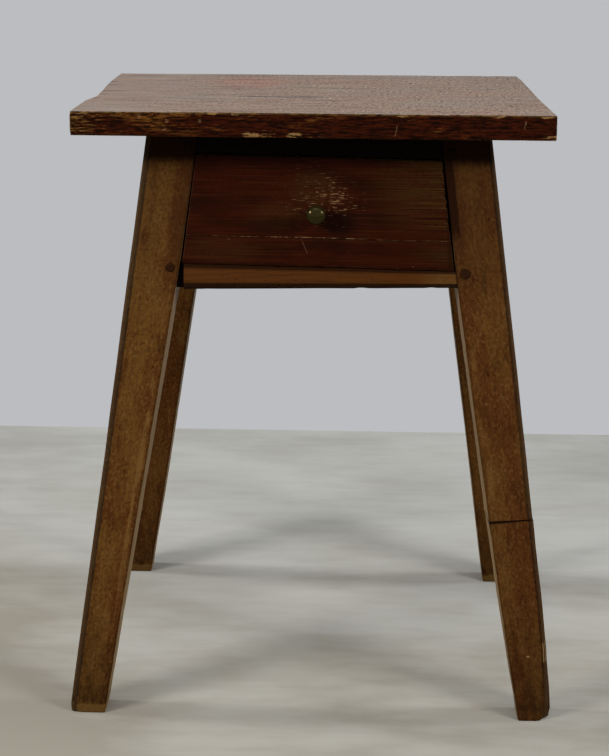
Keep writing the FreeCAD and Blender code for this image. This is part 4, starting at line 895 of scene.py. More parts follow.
class EdgePaint(Finish):
    """Dark paint on the top's edges, streaked with brown and flaked to bare wood in places."""

    def __init__(self):
        super().__init__("top_edge_paint")
        self.low, self.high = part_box("top_board")
        self.x, y, self.z = self.axes(self.position)
        self.along = self.x + y
        self.corner = self.low.x + self.low.y
        self.coarse = self.noise(self.join(self.along, 0.0, self.z), (14.0, 0.0, 70.0), 3.0, 0.6)
        around = self.join(self.along, 0.0, uneven(self.z, self.coarse, 0.006))
        self.streak = self.noise(around, (46.0, 0.0, 420.0), 5.0, 0.74)
        self.flake = self.noise(around, (120.0, 0.0, 800.0), 4.0, 0.72)
        self.grit = self.noise(around, (520.0, 0.0, 900.0), 2.0, 0.6)

    def front_spot(self, along, height, half_length, half_height):
        """A soft spot on the front edge, at this height."""
        return self.spot((along, self.low.y, height), (half_length, 0.03, half_height))

    def streaked(self):
        """The paint itself, brown where it is thin and less so low down."""
        low, corner = self.low, self.corner
        edge = self.mix(self.band(self.streak, 0.42, 0.58), "edge_dark", "edge")
        brown_left = self.band(uneven(self.along, self.coarse, 0.16), corner + 0.26, corner + 0.10)
        thin = self.streak * 0.50 + self.flake * 0.35 + self.coarse * 0.70 + brown_left * 0.08
        below = self.band(uneven(self.z, self.coarse, 0.008), low.z + 0.0100, low.z + 0.0045)
        return self.coats(
            edge,
            (thin, 0.86, 0.98, 0.9 - below * 0.55, "edge_brown"),
            (self.flake, 0.48, 0.36, 0.7, "edge_dark"),
            (self.grit, 0.52, 0.68, 0.6, "edge_dark"),
        )

    def worn(self):
        """How worn the paint is: patches along the foot, chips along the arris, small flakes low down."""
        low, high = self.low, self.high
        patches = [
            self.front_spot(place, low.z + 0.0020, reach, height) * share
            for place, reach, height, share in (*FOOT_PATCHES, (high.x, 0.024, 0.0060, 0.9))
        ]
        chips = [
            self.front_spot(place, high.z - 0.0012, reach, 0.0036) * share
            for place, reach, share in ARRIS_CHIPS
        ]
        flakes = 0.45 + self.near(self.x, 0.035, 0.060, 0.030) * 0.30
        flakes = self.band(self.z, low.z + 0.012, low.z + 0.003) * self.band(self.coarse, 0.45, 0.6) * flakes
        return self.most(*patches, *chips, flakes)

    def rubbed(self, edge):
        """Olive wood along the upper arris and round the left corner."""
        along, corner, flake = self.along, self.corner, self.flake
        arris = self.band(self.high.z - self.z, 0.0024, 0.0008)
        arris = arris * self.band(flake + self.coarse * 0.4, 0.60, 0.76)
        edge = self.mix(arris * 0.5, edge, "edge_olive")
        near_corner = self.band(along, corner + 0.075, corner) * 0.10
        olive = self.band(flake * 0.5 + self.streak * 0.7 + near_corner, 0.70, 0.80)
        olive = olive * self.band(along, corner + 0.13, corner + 0.05)
        rounded = self.band(along, corner + 0.0055, corner + 0.0030) * self.band(flake, 0.36, 0.50)
        return self.mix(self.most(olive * 0.78, rounded * 0.80), edge, "edge_olive")

    def scratched(self, edge):
        """Pale scratches and nicks in the front edge."""
        x, z, high = self.x, self.z, self.high
        marks = []
        for place, lean, above, below in EDGE_SCRATCHES:
            line = uneven(x - place - (z - high.z) * lean, self.flake, 0.006)
            ends = self.band(z, below - 0.002, below) * self.band(z, above, above - 0.002)
            marks.append(self.near(line, 0.0, 0.0008, 0.0002) * ends)
        for place, height in EDGE_NICKS:
            nick = self.front_spot(place, self.low.z + height, 0.0028, 0.0030)
            marks.append(nick * self.band(self.flake, 0.40, 0.52))
        scratches = self.most(*marks) * self.band(self.grit, 0.40, 0.62)
        return self.mix(scratches * 0.55, edge, "fleck")


def top_edge_finish():
    """Dark paint on the top's edges, worn, rubbed and scratched."""
    shade = EdgePaint()
    worn = shade.worn()
    patches = shade.band(shade.flake * 0.45 + shade.streak * 0.55 + worn * 0.235, 0.69, 0.75)
    bared = patches * uneven(0.30 + worn * 0.46, shade.grit, 0.5)
    edge = shade.mix(bared, shade.streaked(), "bare")
    edge = shade.scratched(shade.rubbed(edge))
    bump = shade.streak * 0.5 + shade.flake * 0.6 + shade.grit * 0.3 - patches * 0.5
    return shade.surface(edge, 0.42 + shade.flake * 0.2, bump, strength=0.6)


def raw_finish(name, along, shift):
    """Unpainted softwood inside the table, yellowed and a little dirty."""
    shade = Finish(name)
    grain = Grain(shade, along, shift=shift, pith=(0.11, 0.35), ring=0.0048)
    wood = shade.coats(
        shade.mix(grain.late * 0.65, "raw", "leg"),
        (grain.fibre, 0.4, 0.8, 0.35, "leg"),
        (grain.drift, 0.45, 0.75, 0.4, "leg_red"),
    )
    wood = shade.mix(shade.specks(grain.place, (60.0, 160.0, 160.0), 0.18) * 0.6, wood, "leg_dark")
    bump = grain.fibre * 0.6 - grain.late * 0.4
    return shade.surface(wood, 0.62 + grain.mottle * 0.15, bump)


def peg_finish():
    """End grain of a driven peg: small rings, dark and dirty with oil; the pegs high on the legs are darkened
    further as painted shadow of the top.
    """
    shade = Finish("peg_end_grain")
    rings = shade.noise(shade.position, (900.0, 900.0, 900.0), 2.0, 0.6)
    blotch = shade.noise(shade.position, (260.0, 260.0, 260.0), 2.0)
    rim = shade.kept("rim")
    wood = shade.coats(
        shade.mix(shade.band(rings, 0.35, 0.7), "leg_brown", "leg_dark"),
        (blotch, 0.50, 0.80, 0.20, "leg"),
        # Painted shadow of the top on the pegs high on the legs.
        (shade.axes(shade.position)[Z], 0.600, 0.612, 0.75, "dirt_and_shade"),
    )
    wood = shade.mix(rim, wood, "dirt_and_shade")
    return shade.surface(wood, 0.5 + blotch * 0.2, rings - rim)


def iron_finish():
    """Hand-cut nails, rusted brown."""
    shade = Finish("rusted_iron")
    rust = shade.noise(shade.position, (420.0, 420.0, 420.0), 4.0, 0.65)
    base = shade.mix(shade.band(rust, 0.4, 0.65), "iron", "leg_dark")
    return shade.surface(base, 0.55 + rust * 0.3, rust, metallic=0.4)


def steel_finish():
    """Screw inside the drawer: dull steel with a brown bloom."""
    shade = Finish("screw_steel")
    bloom = shade.noise(shade.position, (300.0, 300.0, 300.0), 3.0)
    base = shade.mix(shade.band(bloom, 0.4, 0.7), "steel", "iron")
    return shade.surface(base, 0.35 + bloom * 0.25, bloom, strength=0.2, metallic=0.8)


def brass_finish():
    """Handled brass gone greenish, darker round the neck."""
    shade = Finish("aged_brass")
    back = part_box("drawer_knob")[1].y
    cloud = shade.noise(shade.position, (160.0, 160.0, 160.0), 3.0, 0.6)
    scratch = shade.noise(shade.position, (900.0, 300.0, 900.0), 2.0, 0.6)
    base = shade.mix(shade.band(cloud, 0.35, 0.7), "brass", "brass_dull")
    y = shade.axes(shade.position)[Y]
    base = shade.mix(shade.band(y, back - 0.009, back - 0.002), base, "dirt_and_shade")
    rough = 0.16 + shade.band(cloud, 0.4, 0.8) * 0.14
    return shade.surface(base, rough, scratch, strength=0.08, gloss=0.12, metallic=0.5)


# ------------------------------------------------------------------------------------ wooden pieces


def finish_piece(piece, material, body, slot, *nodes):
    """Gives a piece its material and its CAD body, and hides the nodes that it stands for; the slot is not
    used.
    """
    piece.data.materials.append(material)
    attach(piece, body)
    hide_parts(*nodes)
    return piece


def dress_nodes(material, *nodes):
    """Gives nodes of the frame that keep their own shape a new material."""
    for node in nodes:
        for slot in frame["nodes"][node].material_slots:
            slot.link = "OBJECT"
            slot.material = material


def lean_weights(run_axis):
    """Weights that find the corners of a board whose ends are cut askew."""
    weights = [1, 1, 1]
    weights[run_axis] = 0.1
    return weights


def upper_rail_piece(material):
    """The rail over the drawer: six plain faces, worn and rounded."""
    node, step = "upper_front_rail", 0.004
    corners = board_corners(node, lean_weights(X))
    lengths = mean_lengths(corners)
    points, faces = block_net(lengths, [min(step, size / 3) for size in lengths], sizes().arris)
    piece = make_mesh(node + "_worn", carry(corners, points / lengths), faces)
    push_in(piece, wear(points, arris_distance(points, lengths), X, 61))
    return finish_piece(piece, material, "frame", "rail_wood", node)


def rail_tenon_piece(material):
    """Left tenon of the lower front rail, in the gap that the rail's short shoulder leaves; its black-mixed
    paint is painted shade for that gap.
    """
    reach, thick, behind, drop = 0.031, 0.008, 0.0075, 0.0030
    step, arris = 0.002, 0.0004
    low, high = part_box("lower_front_rail")
    lengths = np.array((reach, thick, high.z - low.z - 0.0008 + drop))
    points, faces = block_net(lengths, (step, step, step), arris)
    piece = make_mesh("lower_front_rail_tenon", points + (low.x, low.y + behind, low.z - drop), faces)
    push_in(piece, wear(points, arris_distance(points, lengths), X, 64, chips=0.0008))
    return finish_piece(piece, material, "frame", "rail_wood")


def beaded_outline(thickness, height):
    """Section of a board with a bead on its low outer edge, as (behind the outer face, above its foot).

    With it come how deep each point lies in the groove, and how far it is from a plain arris.
    """
    bead, arris, quirk = sizes().rail_bead, sizes().arris, sizes().quirk
    quirk_top = 2 * bead + quirk
    bead_arc = arc((bead, bead), bead, 125, 270, 11)
    outline = np.concatenate((
        run((0, height - arris), (0, quirk_top), 14),
        run((0, quirk_top), bead_arc[0], 3),
        bead_arc,
        run((bead, 0), (thickness - arris, 0), 5)[1:],
        arc((thickness - arris, arris), arris, 270, 360, 4),
        run((thickness, arris), (thickness, height - arris), 12)[1:],
        arc((thickness - arris, height - arris), arris, 0, 90, 4),
        arc((arris, height - arris), arris, 90, 180, 4)[:-1],
    ))
    behind, above = outline.T
    groove = smooth_step(np.abs(above - 2 * bead), 0.6 * quirk, 0.0) * (behind < 2 * bead)
    groove = np.maximum(groove, 0.55 * (above < 2 * bead) * (behind < 2 * bead))
    arris_away = plain_arris_distance(outline, ((0, height), (thickness, height), (thickness, 0)))
    return outline, groove, arris_away


def beaded_board(node, material, run_axis, outer_end, thickness, seed, low_edge=(0.0, 0.0)):
    """A rail or apron with its bead, from shoulder to shoulder, leaning as the frame's node leans.

    The low edge is raised by its two amounts at the left and the right end.
    """
    step, bead_wear = 0.003, 0.001
    corners = board_corners(node, lean_weights(run_axis))
    out_axis = Y if run_axis == X else X
    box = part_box(node)
    low_outer = (slice(None), outer_end, LOW) if out_axis == Y else (outer_end, slice(None), LOW)
    corners[low_outer + (out_axis,)] = box[outer_end][out_axis]
    corners[low_outer + (Z,)] = box[LOW].z
    for end in (LEFT, RIGHT):
        corners[end, :, LOW, Z] += low_edge[end]
    lengths = mean_lengths(corners)
    outline, groove, arris_away = beaded_outline(thickness, lengths[Z])
    stations = np.linspace(0, 1, max(2, round(lengths[run_axis] / step)))
    shares = np.zeros((len(stations), len(outline), 3))
    shares[..., run_axis] = stations[:, None]
    depth = outline[:, 0] / lengths[out_axis]
    shares[..., out_axis] = 1 - depth if outer_end else depth
    shares[..., Z] = outline[:, 1] / lengths[Z]
    flat, faces = tube_net(shares)
    piece = make_mesh(node + "_worn", carry(corners, flat), faces)
    on_bead = outline < 2 * sizes().rail_bead
    note(piece, "arris", np.tile(arris_away, len(stations)))
    note(piece, "groove", np.tile(groove, len(stations)))
    note(piece, "bead", np.tile(on_bead.all(axis=1), len(stations)))
    away = np.minimum(arris_away, np.where(on_bead[:, 1], bead_wear, 1.0))
    push_in(piece, wear(flat * lengths, np.tile(away, len(stations)), run_axis, seed, chips=0.0012))
    return finish_piece(piece, material, "frame", "rail_wood", node)


# -------------------------------------------------------------------------------------------- legs

# Heights at which a leg's swell is given.
SWELL_HEIGHTS = (0.0, 0.011, 0.035, 0.13, 0.30, 0.66)
# Where the sawn joint of the spliced leg crosses its middle, and how it slopes.
SPLICE_HEIGHT, SPLICE_SLOPE = 0.231, 0.093
# How much of a leg's inner side leans out at these heights: little at the foot, none beside the rail.
LEAN_HEIGHTS, LEAN_SHARES = (0.02, 0.15, 0.482, 0.500), (0.2, 1, 1, 0)
# How far the spliced foot's inner arris is worn away at these heights.
FOOT_HEIGHTS, FOOT_LOSS = (0.017, 0.042, 0.085, 0.150), (0.0022, 0.0014, 0.0007, 0.0)


class LegPlace:
    """Where one leg stands, from the boxes of its nodes."""

    def __init__(self, side, end, *nodes):
        self.way = np.array((1 if side == LEFT else -1, 1 if end == FRONT else -1))
        boxes = [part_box(node) for node in nodes]
        low = np.min([box[0] for box in boxes], axis=0)
        high = np.max([box[1] for box in boxes], axis=0)
        self.height = high[Z]
        size = sizes().leg_size
        foot = [low[X] if side == LEFT else high[X], low[Y] if end == FRONT else high[Y]]
        head = [high[X] - size if side == LEFT else low[X] + size]
        head.append(high[Y] - size if end == FRONT else low[Y] + size)
        self.foot = np.array(foot)
        self.slope = (np.array(head) - self.foot) / self.height

    def corner(self, height):
        """Outer corner of the leg at a height."""
        return self.foot + self.slope * height


def leg_section(z):
    """Width and depth of a tapered leg at a height."""
    share = min(1.0, z / sizes().taper_height)
    foot = np.array((sizes().foot_width, sizes().foot_depth))
    return foot + (sizes().leg_size - foot) * share


def leg_outline(width, depth, bead):
    """Section of a leg, inwards from its outer corner, with a bead there; always as many points."""
    arris = sizes().arris
    quirk = 2 * bead + sizes().quirk
    bead_arc = arc((bead, bead), bead, -50, -220, 15)
    return np.concatenate((
        run((width - arris, 0), (quirk, 0), 13),
        run((quirk, 0), bead_arc[0], 3),
        bead_arc,
        run(bead_arc[-1], (0, quirk), 3)[1:],
        run((0, quirk), (0, depth - arris), 13),
        arc((arris, depth - arris), arris, 180, 90, 4),
        run((arris, depth), (width - arris, depth), 13)[1:],
        arc((width - arris, depth - arris), arris, 90, 0, 4),
        run((width, depth - arris), (width, arris), 13)[1:],
        arc((width - arris, arris), arris, 0, -90, 4)[:-1],
    ))


class LegLength:
    """One length of leg between two heights, and the shape of its section at each height.

    The joint slopes tilt a sawn joint at its low or high end. The swell is how far its outer side stands out
    at SWELL_HEIGHTS. Below the rail its inner side stands out by the two values of inner, at its front and at
    its back. The foot wear rounds the foot's corner. The bead is a share of the leg bead's usual size.
    """

    def __init__(self, place, low, high, swell, inner, joint_slopes=(0.0, 0.0), foot_wear=0.0, bead=1.0):
        self.place = place
        self.low, self.high = low, high
        self.joint_slopes = joint_slopes
        self.swell = swell
        self.inner = inner
        self.foot_wear = foot_wear
        self.bead = sizes().leg_bead * bead

    def stations(self):
        """Heights of the rings of points, closer together at both ends."""
        step = 0.0035
        heights = np.linspace(self.low, self.high, max(2, round((self.high - self.low) / step)))
        ends = sizes().arris * np.array((0.0, 0.3, 1.0))
        return np.concatenate((self.low + ends, heights[1:-1], self.high - ends[::-1]))

    def shrunk(self, outline, size, z):
        """The outline drawn in over the arris at both ends, and round the worn corner of the foot."""
        wear_height, floor_height, floor_wear, corner_radius = 0.085, 0.012, 0.0020, 0.009
        arris = sizes().arris
        lift = min(z - self.low, self.high - z)
        inset = arris - math.sqrt(max(arris ** 2 - max(arris - lift, 0) ** 2, 0))
        centre = size / 2
        inward = centre + (outline - centre) * (1 - 2 * inset / sizes().leg_size)
        foot = max(0.0, 1 - z / wear_height) * self.foot_wear
        foot += max(0.0, 1 - z / floor_height) ** 2 * floor_wear
        near = np.exp(-((outline / corner_radius) ** 2).sum(axis=1))
        return inward + near[:, None] * foot

    def bent(self, inward, outline, size, z):
        """The outline with its outer side swelled and its inner side leaning out."""
        width, depth = size
        outer = np.clip(1 - outline[:, 0] / (width * 0.6), 0, 1)
        inward[:, 0] -= outer * np.interp(z, SWELL_HEIGHTS, self.swell)
        lean_out = np.interp(outline[:, 1], (0, depth), self.inner) * np.interp(z, LEAN_HEIGHTS, LEAN_SHARES)
        if self.foot_wear:
            lean_out = lean_out - np.interp(z, FOOT_HEIGHTS, FOOT_LOSS)
        inward[:, 0] += smooth_step(outline[:, 0], width * 0.6, width * 0.96) * lean_out
        return inward

    def ring(self, outline, size, z):
        """The worn outline in its place, tilted where it is near a sawn joint."""
        tilt_reach = 0.03
        inward = self.bent(self.shrunk(outline, size, z), outline, size, z)
        corner = self.place.corner(z)
        xy = corner + self.place.way * inward
        slope = self.joint_slopes[LOW if z < (self.low + self.high) / 2 else HIGH]
        tilt = slope * (xy[:, 0] - corner[0] - self.place.way[0] * size[0] / 2)
        fade = max(0.0, 1 - min(z - self.low, self.high - z) / tilt_reach)
        return np.column_stack((xy, np.full(len(xy), z) + tilt * fade))

    def marks(self, outline, size, z):
        """The numbers that the leg's finish reads at each point of the outline."""
        bead = self.bead
        on_bead = (outline < 2 * bead).all(axis=1)
        outmost = (outline[:, 0] < 0.5 * bead) | (outline[:, 1] < 0.05 * bead)
        in_groove = smooth_step(np.abs(outline - 2 * bead), 0.0022, 0.0003) * (outline[:, ::-1] < 2 * bead)
        return {
            "groove": in_groove.max(axis=1) * (min(1.0, z / 0.07) if self.foot_wear else 1),
            "bead": on_bead * (0.6 + 0.6 * outmost),
            "end": np.full(len(outline), self.high - z if self.low == 0 else z - self.low),
            "across": size[0] - outline[:, 0],
        }


def plain_arris_distance(outline, arrises):
    """How far each point of a section is from the nearest of its plain arrises."""
    return np.linalg.norm(outline[:, None] - np.array(arrises), axis=2).min(axis=1)


def leg_piece(node, leg, material, slot, seed):
    """A length of leg, skinned over its rings and worn."""
    rings, flat, arrises = [], [], []
    marks = {"groove": [], "bead": [], "end": [], "across": []}
    for z in leg.stations():
        size = leg_section(z)
        width, depth = size
        outline = leg_outline(width, depth, leg.bead)
        rings.append(leg.ring(outline, size, z))
        flat.append(np.column_stack((outline, np.full(len(outline), z))))
        arrises.append(plain_arris_distance(outline, ((width, 0), (width, depth), (0, depth))))
        for mark, values in leg.marks(outline, size, z).items():
            marks[mark].append(values)
    piece = make_mesh(node + "_worn", *tube_net(np.array(rings)))
    for mark, values in marks.items():
        note(piece, mark, np.concatenate(values))
    worn = wear(np.concatenate(flat), np.concatenate(arrises), Z, seed, slow=0.0004, chips=0.0010)
    push_in(piece, worn)
    return finish_piece(piece, material, "frame", slot, node)


def spliced_leg_pieces(upper, lower):
    """The leg with a repaired foot, in two lengths that meet at a sloping joint."""
    place = LegPlace(RIGHT, FRONT, upper, lower)
    lean = tuple(-place.slope)
    leg = LegLength(
        place, SPLICE_HEIGHT, place.height, (0.0, 0.0, 0.0, 0.0, 0.0013, -0.0003), (0.0, 0.0022),
        joint_slopes=(SPLICE_SLOPE, 0.0), bead=0.8,
    )
    finish = leg_finish(upper + "_wood", lean, 2.9, dull=0.08, red=0.35, rub=0.12, joint=1.0, stripe=1.0)
    leg_piece(upper, leg, finish, "leg_wood", 51)
    leg = LegLength(
        place, 0.0, SPLICE_HEIGHT, (-0.0034, 0.0, 0.0013, 0.0024, 0.0012, 0.0), (0.0, 0.0018),
        joint_slopes=(0.0, SPLICE_SLOPE), foot_wear=0.0045, bead=0.8,
    )
    finish = leg_finish(
        lower + "_wood", lean, 3.7, dull=0.16, red=0.30, rub=0.12, joint=1.0, bare_foot=0.0, chipped=1.0
    )
    leg_piece(lower, leg, finish, "splice_wood", 52)


# ------------------------------------------------------------------------------------ top and drawer

# Ends of the top: how far each stands in from the board's box at a distance from front to back.
LEFT_END = (
    (-0.232, -0.120, -0.095, -0.078, -0.062, -0.005, 0.056, 0.120, 0.214),
    (0.0025, 0.0030, 0.0062, 0.0088, 0.0092, 0.0068, 0.0036, 0.0016, 0.0008),
)
RIGHT_END = ((-0.225, -0.170, -0.066, 0.180, 0.233), (-0.0008, 0.0002, 0.0018, 0.0018, 0.0030))
# How fast the shape of an end fades towards the middle.
END_FADE = 8
# How far the front and back edges stand in from the box at the left and right end. The top is out of square.
FRONT_EDGE = (0.0006, 0.0048)
BACK_EDGE = (0.0200, 0.0002)
# How far the foot of the front edge hangs at its left and right ends, and where that begins and is full.
FRONT_LIP = (0.0003, 0.0012)
LIP_REACH = (-0.190, -0.215)


def shallow(points, centre, size, depth):
    """Depth of a round shallow hollow of one radius."""
    away = np.linalg.norm((points - np.array(centre)) / size, axis=1)
    return depth * smooth_step(away, 1.0, 0.2)


def between(ends, share):
    """The value part of the way from one end's to the other's."""
    return ends[0] + (ends[1] - ends[0]) * share


def top_shape(points, low, lengths):
    """The net of the top carried to its place, out of square and with its left end chewed."""
    share, back_share, up_share = (points / lengths).T
    front = low.y + between(FRONT_EDGE, share)
    back = low.y + lengths[Y] - between(BACK_EDGE, share)
    y = front + (back - front) * back_share
    x = low.x + points[:, X]
    x += np.interp(y, *LEFT_END) * (1 - share) ** END_FADE - np.interp(y, *RIGHT_END) * share ** END_FADE
    lip = between(FRONT_LIP, share) * smooth_step(y, *LIP_REACH) * (1 - up_share)
    return np.column_stack((x, y, low.z + points[:, Z] - lip))


def top_wear(points, placed, lengths, low, high):
    """Depth of the top's wear: slow hollows, chips, blunt front corners, a rough stretch of the back edge."""
    blunt_size, blunt_depth = 0.007, 0.0009
    rough_place, rough_reach, rough_behind, rough_depth, rough_cell = 0.160, 0.020, 0.010, 0.003, 0.004
    worn = wear(points, arris_distance(points, lengths), X, 11, slow=0.0002, chips=0.0010)
    for x in (low.x, high.x):
        for z in (low.z, high.z):
            worn += shallow(placed, (x, low.y, z), blunt_size, blunt_depth)
    rough = smooth_step(np.abs(placed[:, X] - rough_place), rough_reach, 0.0)
    rough *= smooth_step(high.y - placed[:, Y], rough_behind, 0)
    worn += rough * rough_depth * value_noise(placed, rough_cell, 31)
    worn[points[:, Z] < 0.5 * sizes().top_arris] *= 0.3
    return worn


def top_piece():
    """The top: one board with three finishes, on its face, on its edges and underneath."""
    step = 0.003
    low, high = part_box("top_board")
    lengths = np.array(high - low)
    points, faces = block_net(lengths, (step, step, step), sizes().top_arris)
    placed = top_shape(points, low, lengths)
    piece = make_mesh("top_board_worn", placed, faces)
    push_in(piece, top_wear(points, placed, lengths, low, high))
    finish_piece(piece, top_finish(), "frame", "painted_wood", "top_board")
    piece.data.materials.append(top_edge_finish())
    piece.data.materials.append(raw_finish("top_underside", X, 3.3))
    face, edge, underside = range(3)
    for polygon in piece.data.polygons:
        up = polygon.normal.z
        polygon.material_index = face if up > 0.95 else underside if up < -0.9 else edge
    return piece


def drawer_front_piece():
    """The drawer front: brushed paint, an open crack, a chewed right end."""
    node = "drawer_front"
    end_shift = {HIGH: -0.0004, LOW: 0.0026}
    steps = (0.0025, 0.004, 0.0014)
    crack_height, crack_wander, crack_depth = 0.0324, 0.0012, 0.0005
    ragged_depth = 0.0016
    corners = board_corners(node)
    for height, shift in end_shift.items():
        corners[RIGHT, :, height, X] += shift
    lengths = mean_lengths(corners)
    points, faces = block_net(lengths, steps, sizes().arris)
    arris = arris_distance(points, lengths)
    piece = make_mesh(node + "_worn", carry(corners, points / lengths), faces)
    across, behind, up = points.T
    from_crack = up - crack_height + (value_noise(points * (1, 0, 0), 0.045, 5) - 0.5) * crack_wander
    note(piece, "arris", arris)
    note(piece, "crack", from_crack)
    worn = wear(points, arris, X, 23, slow=0.0003, chips=0.0012)
    worn += (behind < 0.001) * smooth_step(np.abs(from_crack + 0.0008), 0.0016, 0.0) * crack_depth
    right = smooth_step(lengths[X] - across, 0.006, 0.0) * (behind < 0.006) * smooth_step(up, 0.03, 0.06)
    worn += right * ragged_depth * smooth_step(value_noise(points, (0.01, 0.01, 0.0032), 9), 0.45, 0.8)
    push_in(piece, worn)
    return finish_piece(piece, drawer_front_finish(), "drawer", "painted_wood", node)


# ------------------------------------------------------------------------------ pegs, nails and knob


def joined(nets):
    """Several nets of points and faces as one."""
    points, faces = [], []
    start = 0
    for own_points, own_faces in nets:
        faces += [[index + start for index in face] for face in own_faces]
        points.append(own_points)
        start += len(own_points)
    return np.concatenate(points), faces


def clusters(node, reach):
    """The boxes of a node's separate solids: groups of points closer than the reach along each axis."""
    groups = []
    for vertex in frame["nodes"][node].data.vertices:
        point = np.array(vertex.co)
        for group in groups:
            if np.all(np.abs(group[0] - point) < reach):
                group.append(point)
                break
        else:
            groups.append([point])
    return [(np.min(group, axis=0), np.max(group, axis=0)) for group in groups]


PEG_SIDES = 28
# Rings of a peg towards its outer end: share of its radius, place from that end, and how dark its rim is.
PEG_RINGS = (
    (1.0, -0.002, 1.0), (1.0, -0.0007, 0.9), (0.93, -0.0003, 0.35), (0.72, -0.0001, 0.0), (0.4, 0.0, 0.0),
)
# The share of the radius at its inner end, and how much wider the mashed heads on the right are.
PEG_FOOT, PEG_MASHED = 0.97, 1.20


def peg_net(low, high, seed):
    """A whittled peg along its box's longest way: not quite round, its outer end rubbed to a dome."""
    axis = int(np.argmax(high - low))
    one_way, other_way = (axis + 1) % 3, (axis + 2) % 3
    centre = (low + high) / 2
    outward = 1 if centre[axis] > 0 else -1
    tip = high[axis] if outward > 0 else low[axis]
    radius = (high - low)[one_way] / 2 * sizes().peg_spread * (PEG_MASHED if centre[X] > 0 else 1.0)
    angles = np.linspace(0, 2 * np.pi, PEG_SIDES, endpoint=False)
    places = np.column_stack((np.cos(angles), np.sin(angles), np.full(PEG_SIDES, seed * 1.7)))
    whittled = radius * (1 - 0.09 * value_noise(places, 0.8, seed))
    rings = []
    for share, along, _ in ((PEG_FOOT, low[axis] - high[axis], 1.0), *PEG_RINGS):
        ring = np.tile(centre, (PEG_SIDES, 1))
        ring[:, one_way] += np.cos(angles) * whittled * share
        ring[:, other_way] += np.sin(angles) * whittled * share
        ring[:, axis] = tip + outward * along
        rings.append(ring)
    return tube_net(np.array(rings))


def pegs_piece(node, material):
    """All pegs of one node as one piece."""
    boxes = clusters(node, 0.035)
    points, faces = joined([peg_net(low, high, seed) for seed, (low, high) in enumerate(boxes)])
    piece = make_mesh(node + "_worn", points, faces)
    rims = [1.0, *[rim for _, _, rim in PEG_RINGS]]
    note(piece, "rim", np.tile(np.repeat(rims, PEG_SIDES), len(boxes)))
    return finish_piece(piece, material, "frame", "peg_wood", node)


def nail_net(low, high):
    """One cut nail: a square tapered shank, its flat head punched below the paint."""
    half = (high - low)[X] / 2
    top = high[Z] - sizes().nail_sunk
    square = np.array(((-1, -1), (1, -1), (1, 1), (-1, 1)))
    rings = []
    for height, share in (
        (top, 0.7), (top - 0.0003, 1.0), (top - 0.0014, 1.0), (top - 0.0018, 0.5),
        (low[Z] + 0.006, 0.3), (low[Z], 0.12),
    ):
        corners = square * half * share + ((low + high) / 2)[:2]
        rings.append(np.column_stack((corners, np.full(len(corners), height))))
    return tube_net(np.array(rings))


def top_nails_piece(material):
    """Cut nails of the top, as one piece with sharp edges."""
    boxes = clusters("top_nails", (0.012, 0.012, 1.0))
    piece = make_mesh("top_nails_sunk", *joined([nail_net(low, high) for low, high in boxes]))
    piece.data.polygons.foreach_set("use_smooth", [False] * len(piece.data.polygons))
    return finish_piece(piece, material, "frame", "nail_iron", "top_nails")


def turned_net(profile, steps):
    """Points and faces of a solid turned about the y axis from (radius, y) pairs, both ends on the axis."""
    angles = np.linspace(0, 2 * np.pi, steps, endpoint=False)
    radius, along = np.array(profile[1:-1]).T
    rings = np.stack((
        radius[:, None] * np.cos(angles),
        np.repeat(along[:, None], steps, axis=1),
        radius[:, None] * np.sin(angles),
    ), axis=-1)
    points, faces = tube_net(rings)
    faces = faces[:-2]
    first, last = len(points), len(points) + 1
    end = len(points) - steps
    points = np.concatenate((points, ((0, profile[0][1], 0), (0, profile[-1][1], 0))))
    for step in range(steps):
        after = (step + 1) % steps
        faces.append([first, step, after])
        faces.append([last, end + after, end + step])
    return points, faces


def knob_profile(ball, reach):
    """Half section of the knob outwards from its foot, as (radius, y): collar, thin neck, flattened ball."""
    neck, collar, collar_height = 0.0038, 0.0056, 0.0020
    crown = 0.70 * ball
    crown_power = 2 / 2.6
    foot = [(0, 0), (collar * 0.92, 0), (collar, -0.0004), (collar, -0.0011), (collar * 0.8, -collar_height)]
    foot += [(neck * 1.08, -collar_height - 0.0002), (neck, -collar_height - 0.0007)]
    back_angles = np.linspace(math.asin(neck / ball), math.pi / 2, 14, endpoint=False)
    back = [(ball * math.sin(angle), ball * math.cos(angle) - reach) for angle in back_angles]
    front = [
        (ball * math.cos(angle) ** crown_power, -crown * math.sin(angle) ** crown_power - reach)
        for angle in np.linspace(0, math.pi / 2, 24)[:-1]
    ]
    return [*foot, *back, *front, (0, -crown - reach)]


def knob_piece():
    """Ball knob turned in brass, its axis square to the leaning drawer front."""
    reach = 0.0135
    low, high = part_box("drawer_knob")
    face = board_corners("drawer_front")
    foot = face[LEFT][FRONT][LOW]
    rise = face[LEFT][FRONT][HIGH] - foot
    cant = math.atan2(rise[Y], rise[Z])
    middle = (low.z + high.z) / 2 - reach * math.sin(cant)
    share = (middle - foot[Z]) / rise[Z]
    place = np.array(((low.x + high.x) / 2, foot[Y] + rise[Y] * share, middle))
    ball = (high.x - low.x) / 2 * sizes().knob_spread
    points, faces = turned_net(knob_profile(ball, reach), 64)
    turn = np.array(Matrix.Rotation(-cant, 3, "X"))
    placed = points @ turn.T + place
    piece = make_mesh("drawer_knob_turned", placed, faces)
    piece.data.polygons.foreach_set("use_smooth", [True] * len(piece.data.polygons))
    push_in(piece, 0.00012 * value_noise(placed, 0.005, 3))
    return finish_piece(piece, brass_finish(), "drawer", "aged_brass", "drawer_knob")


# ------------------------------------------------------------------------------------------- stage

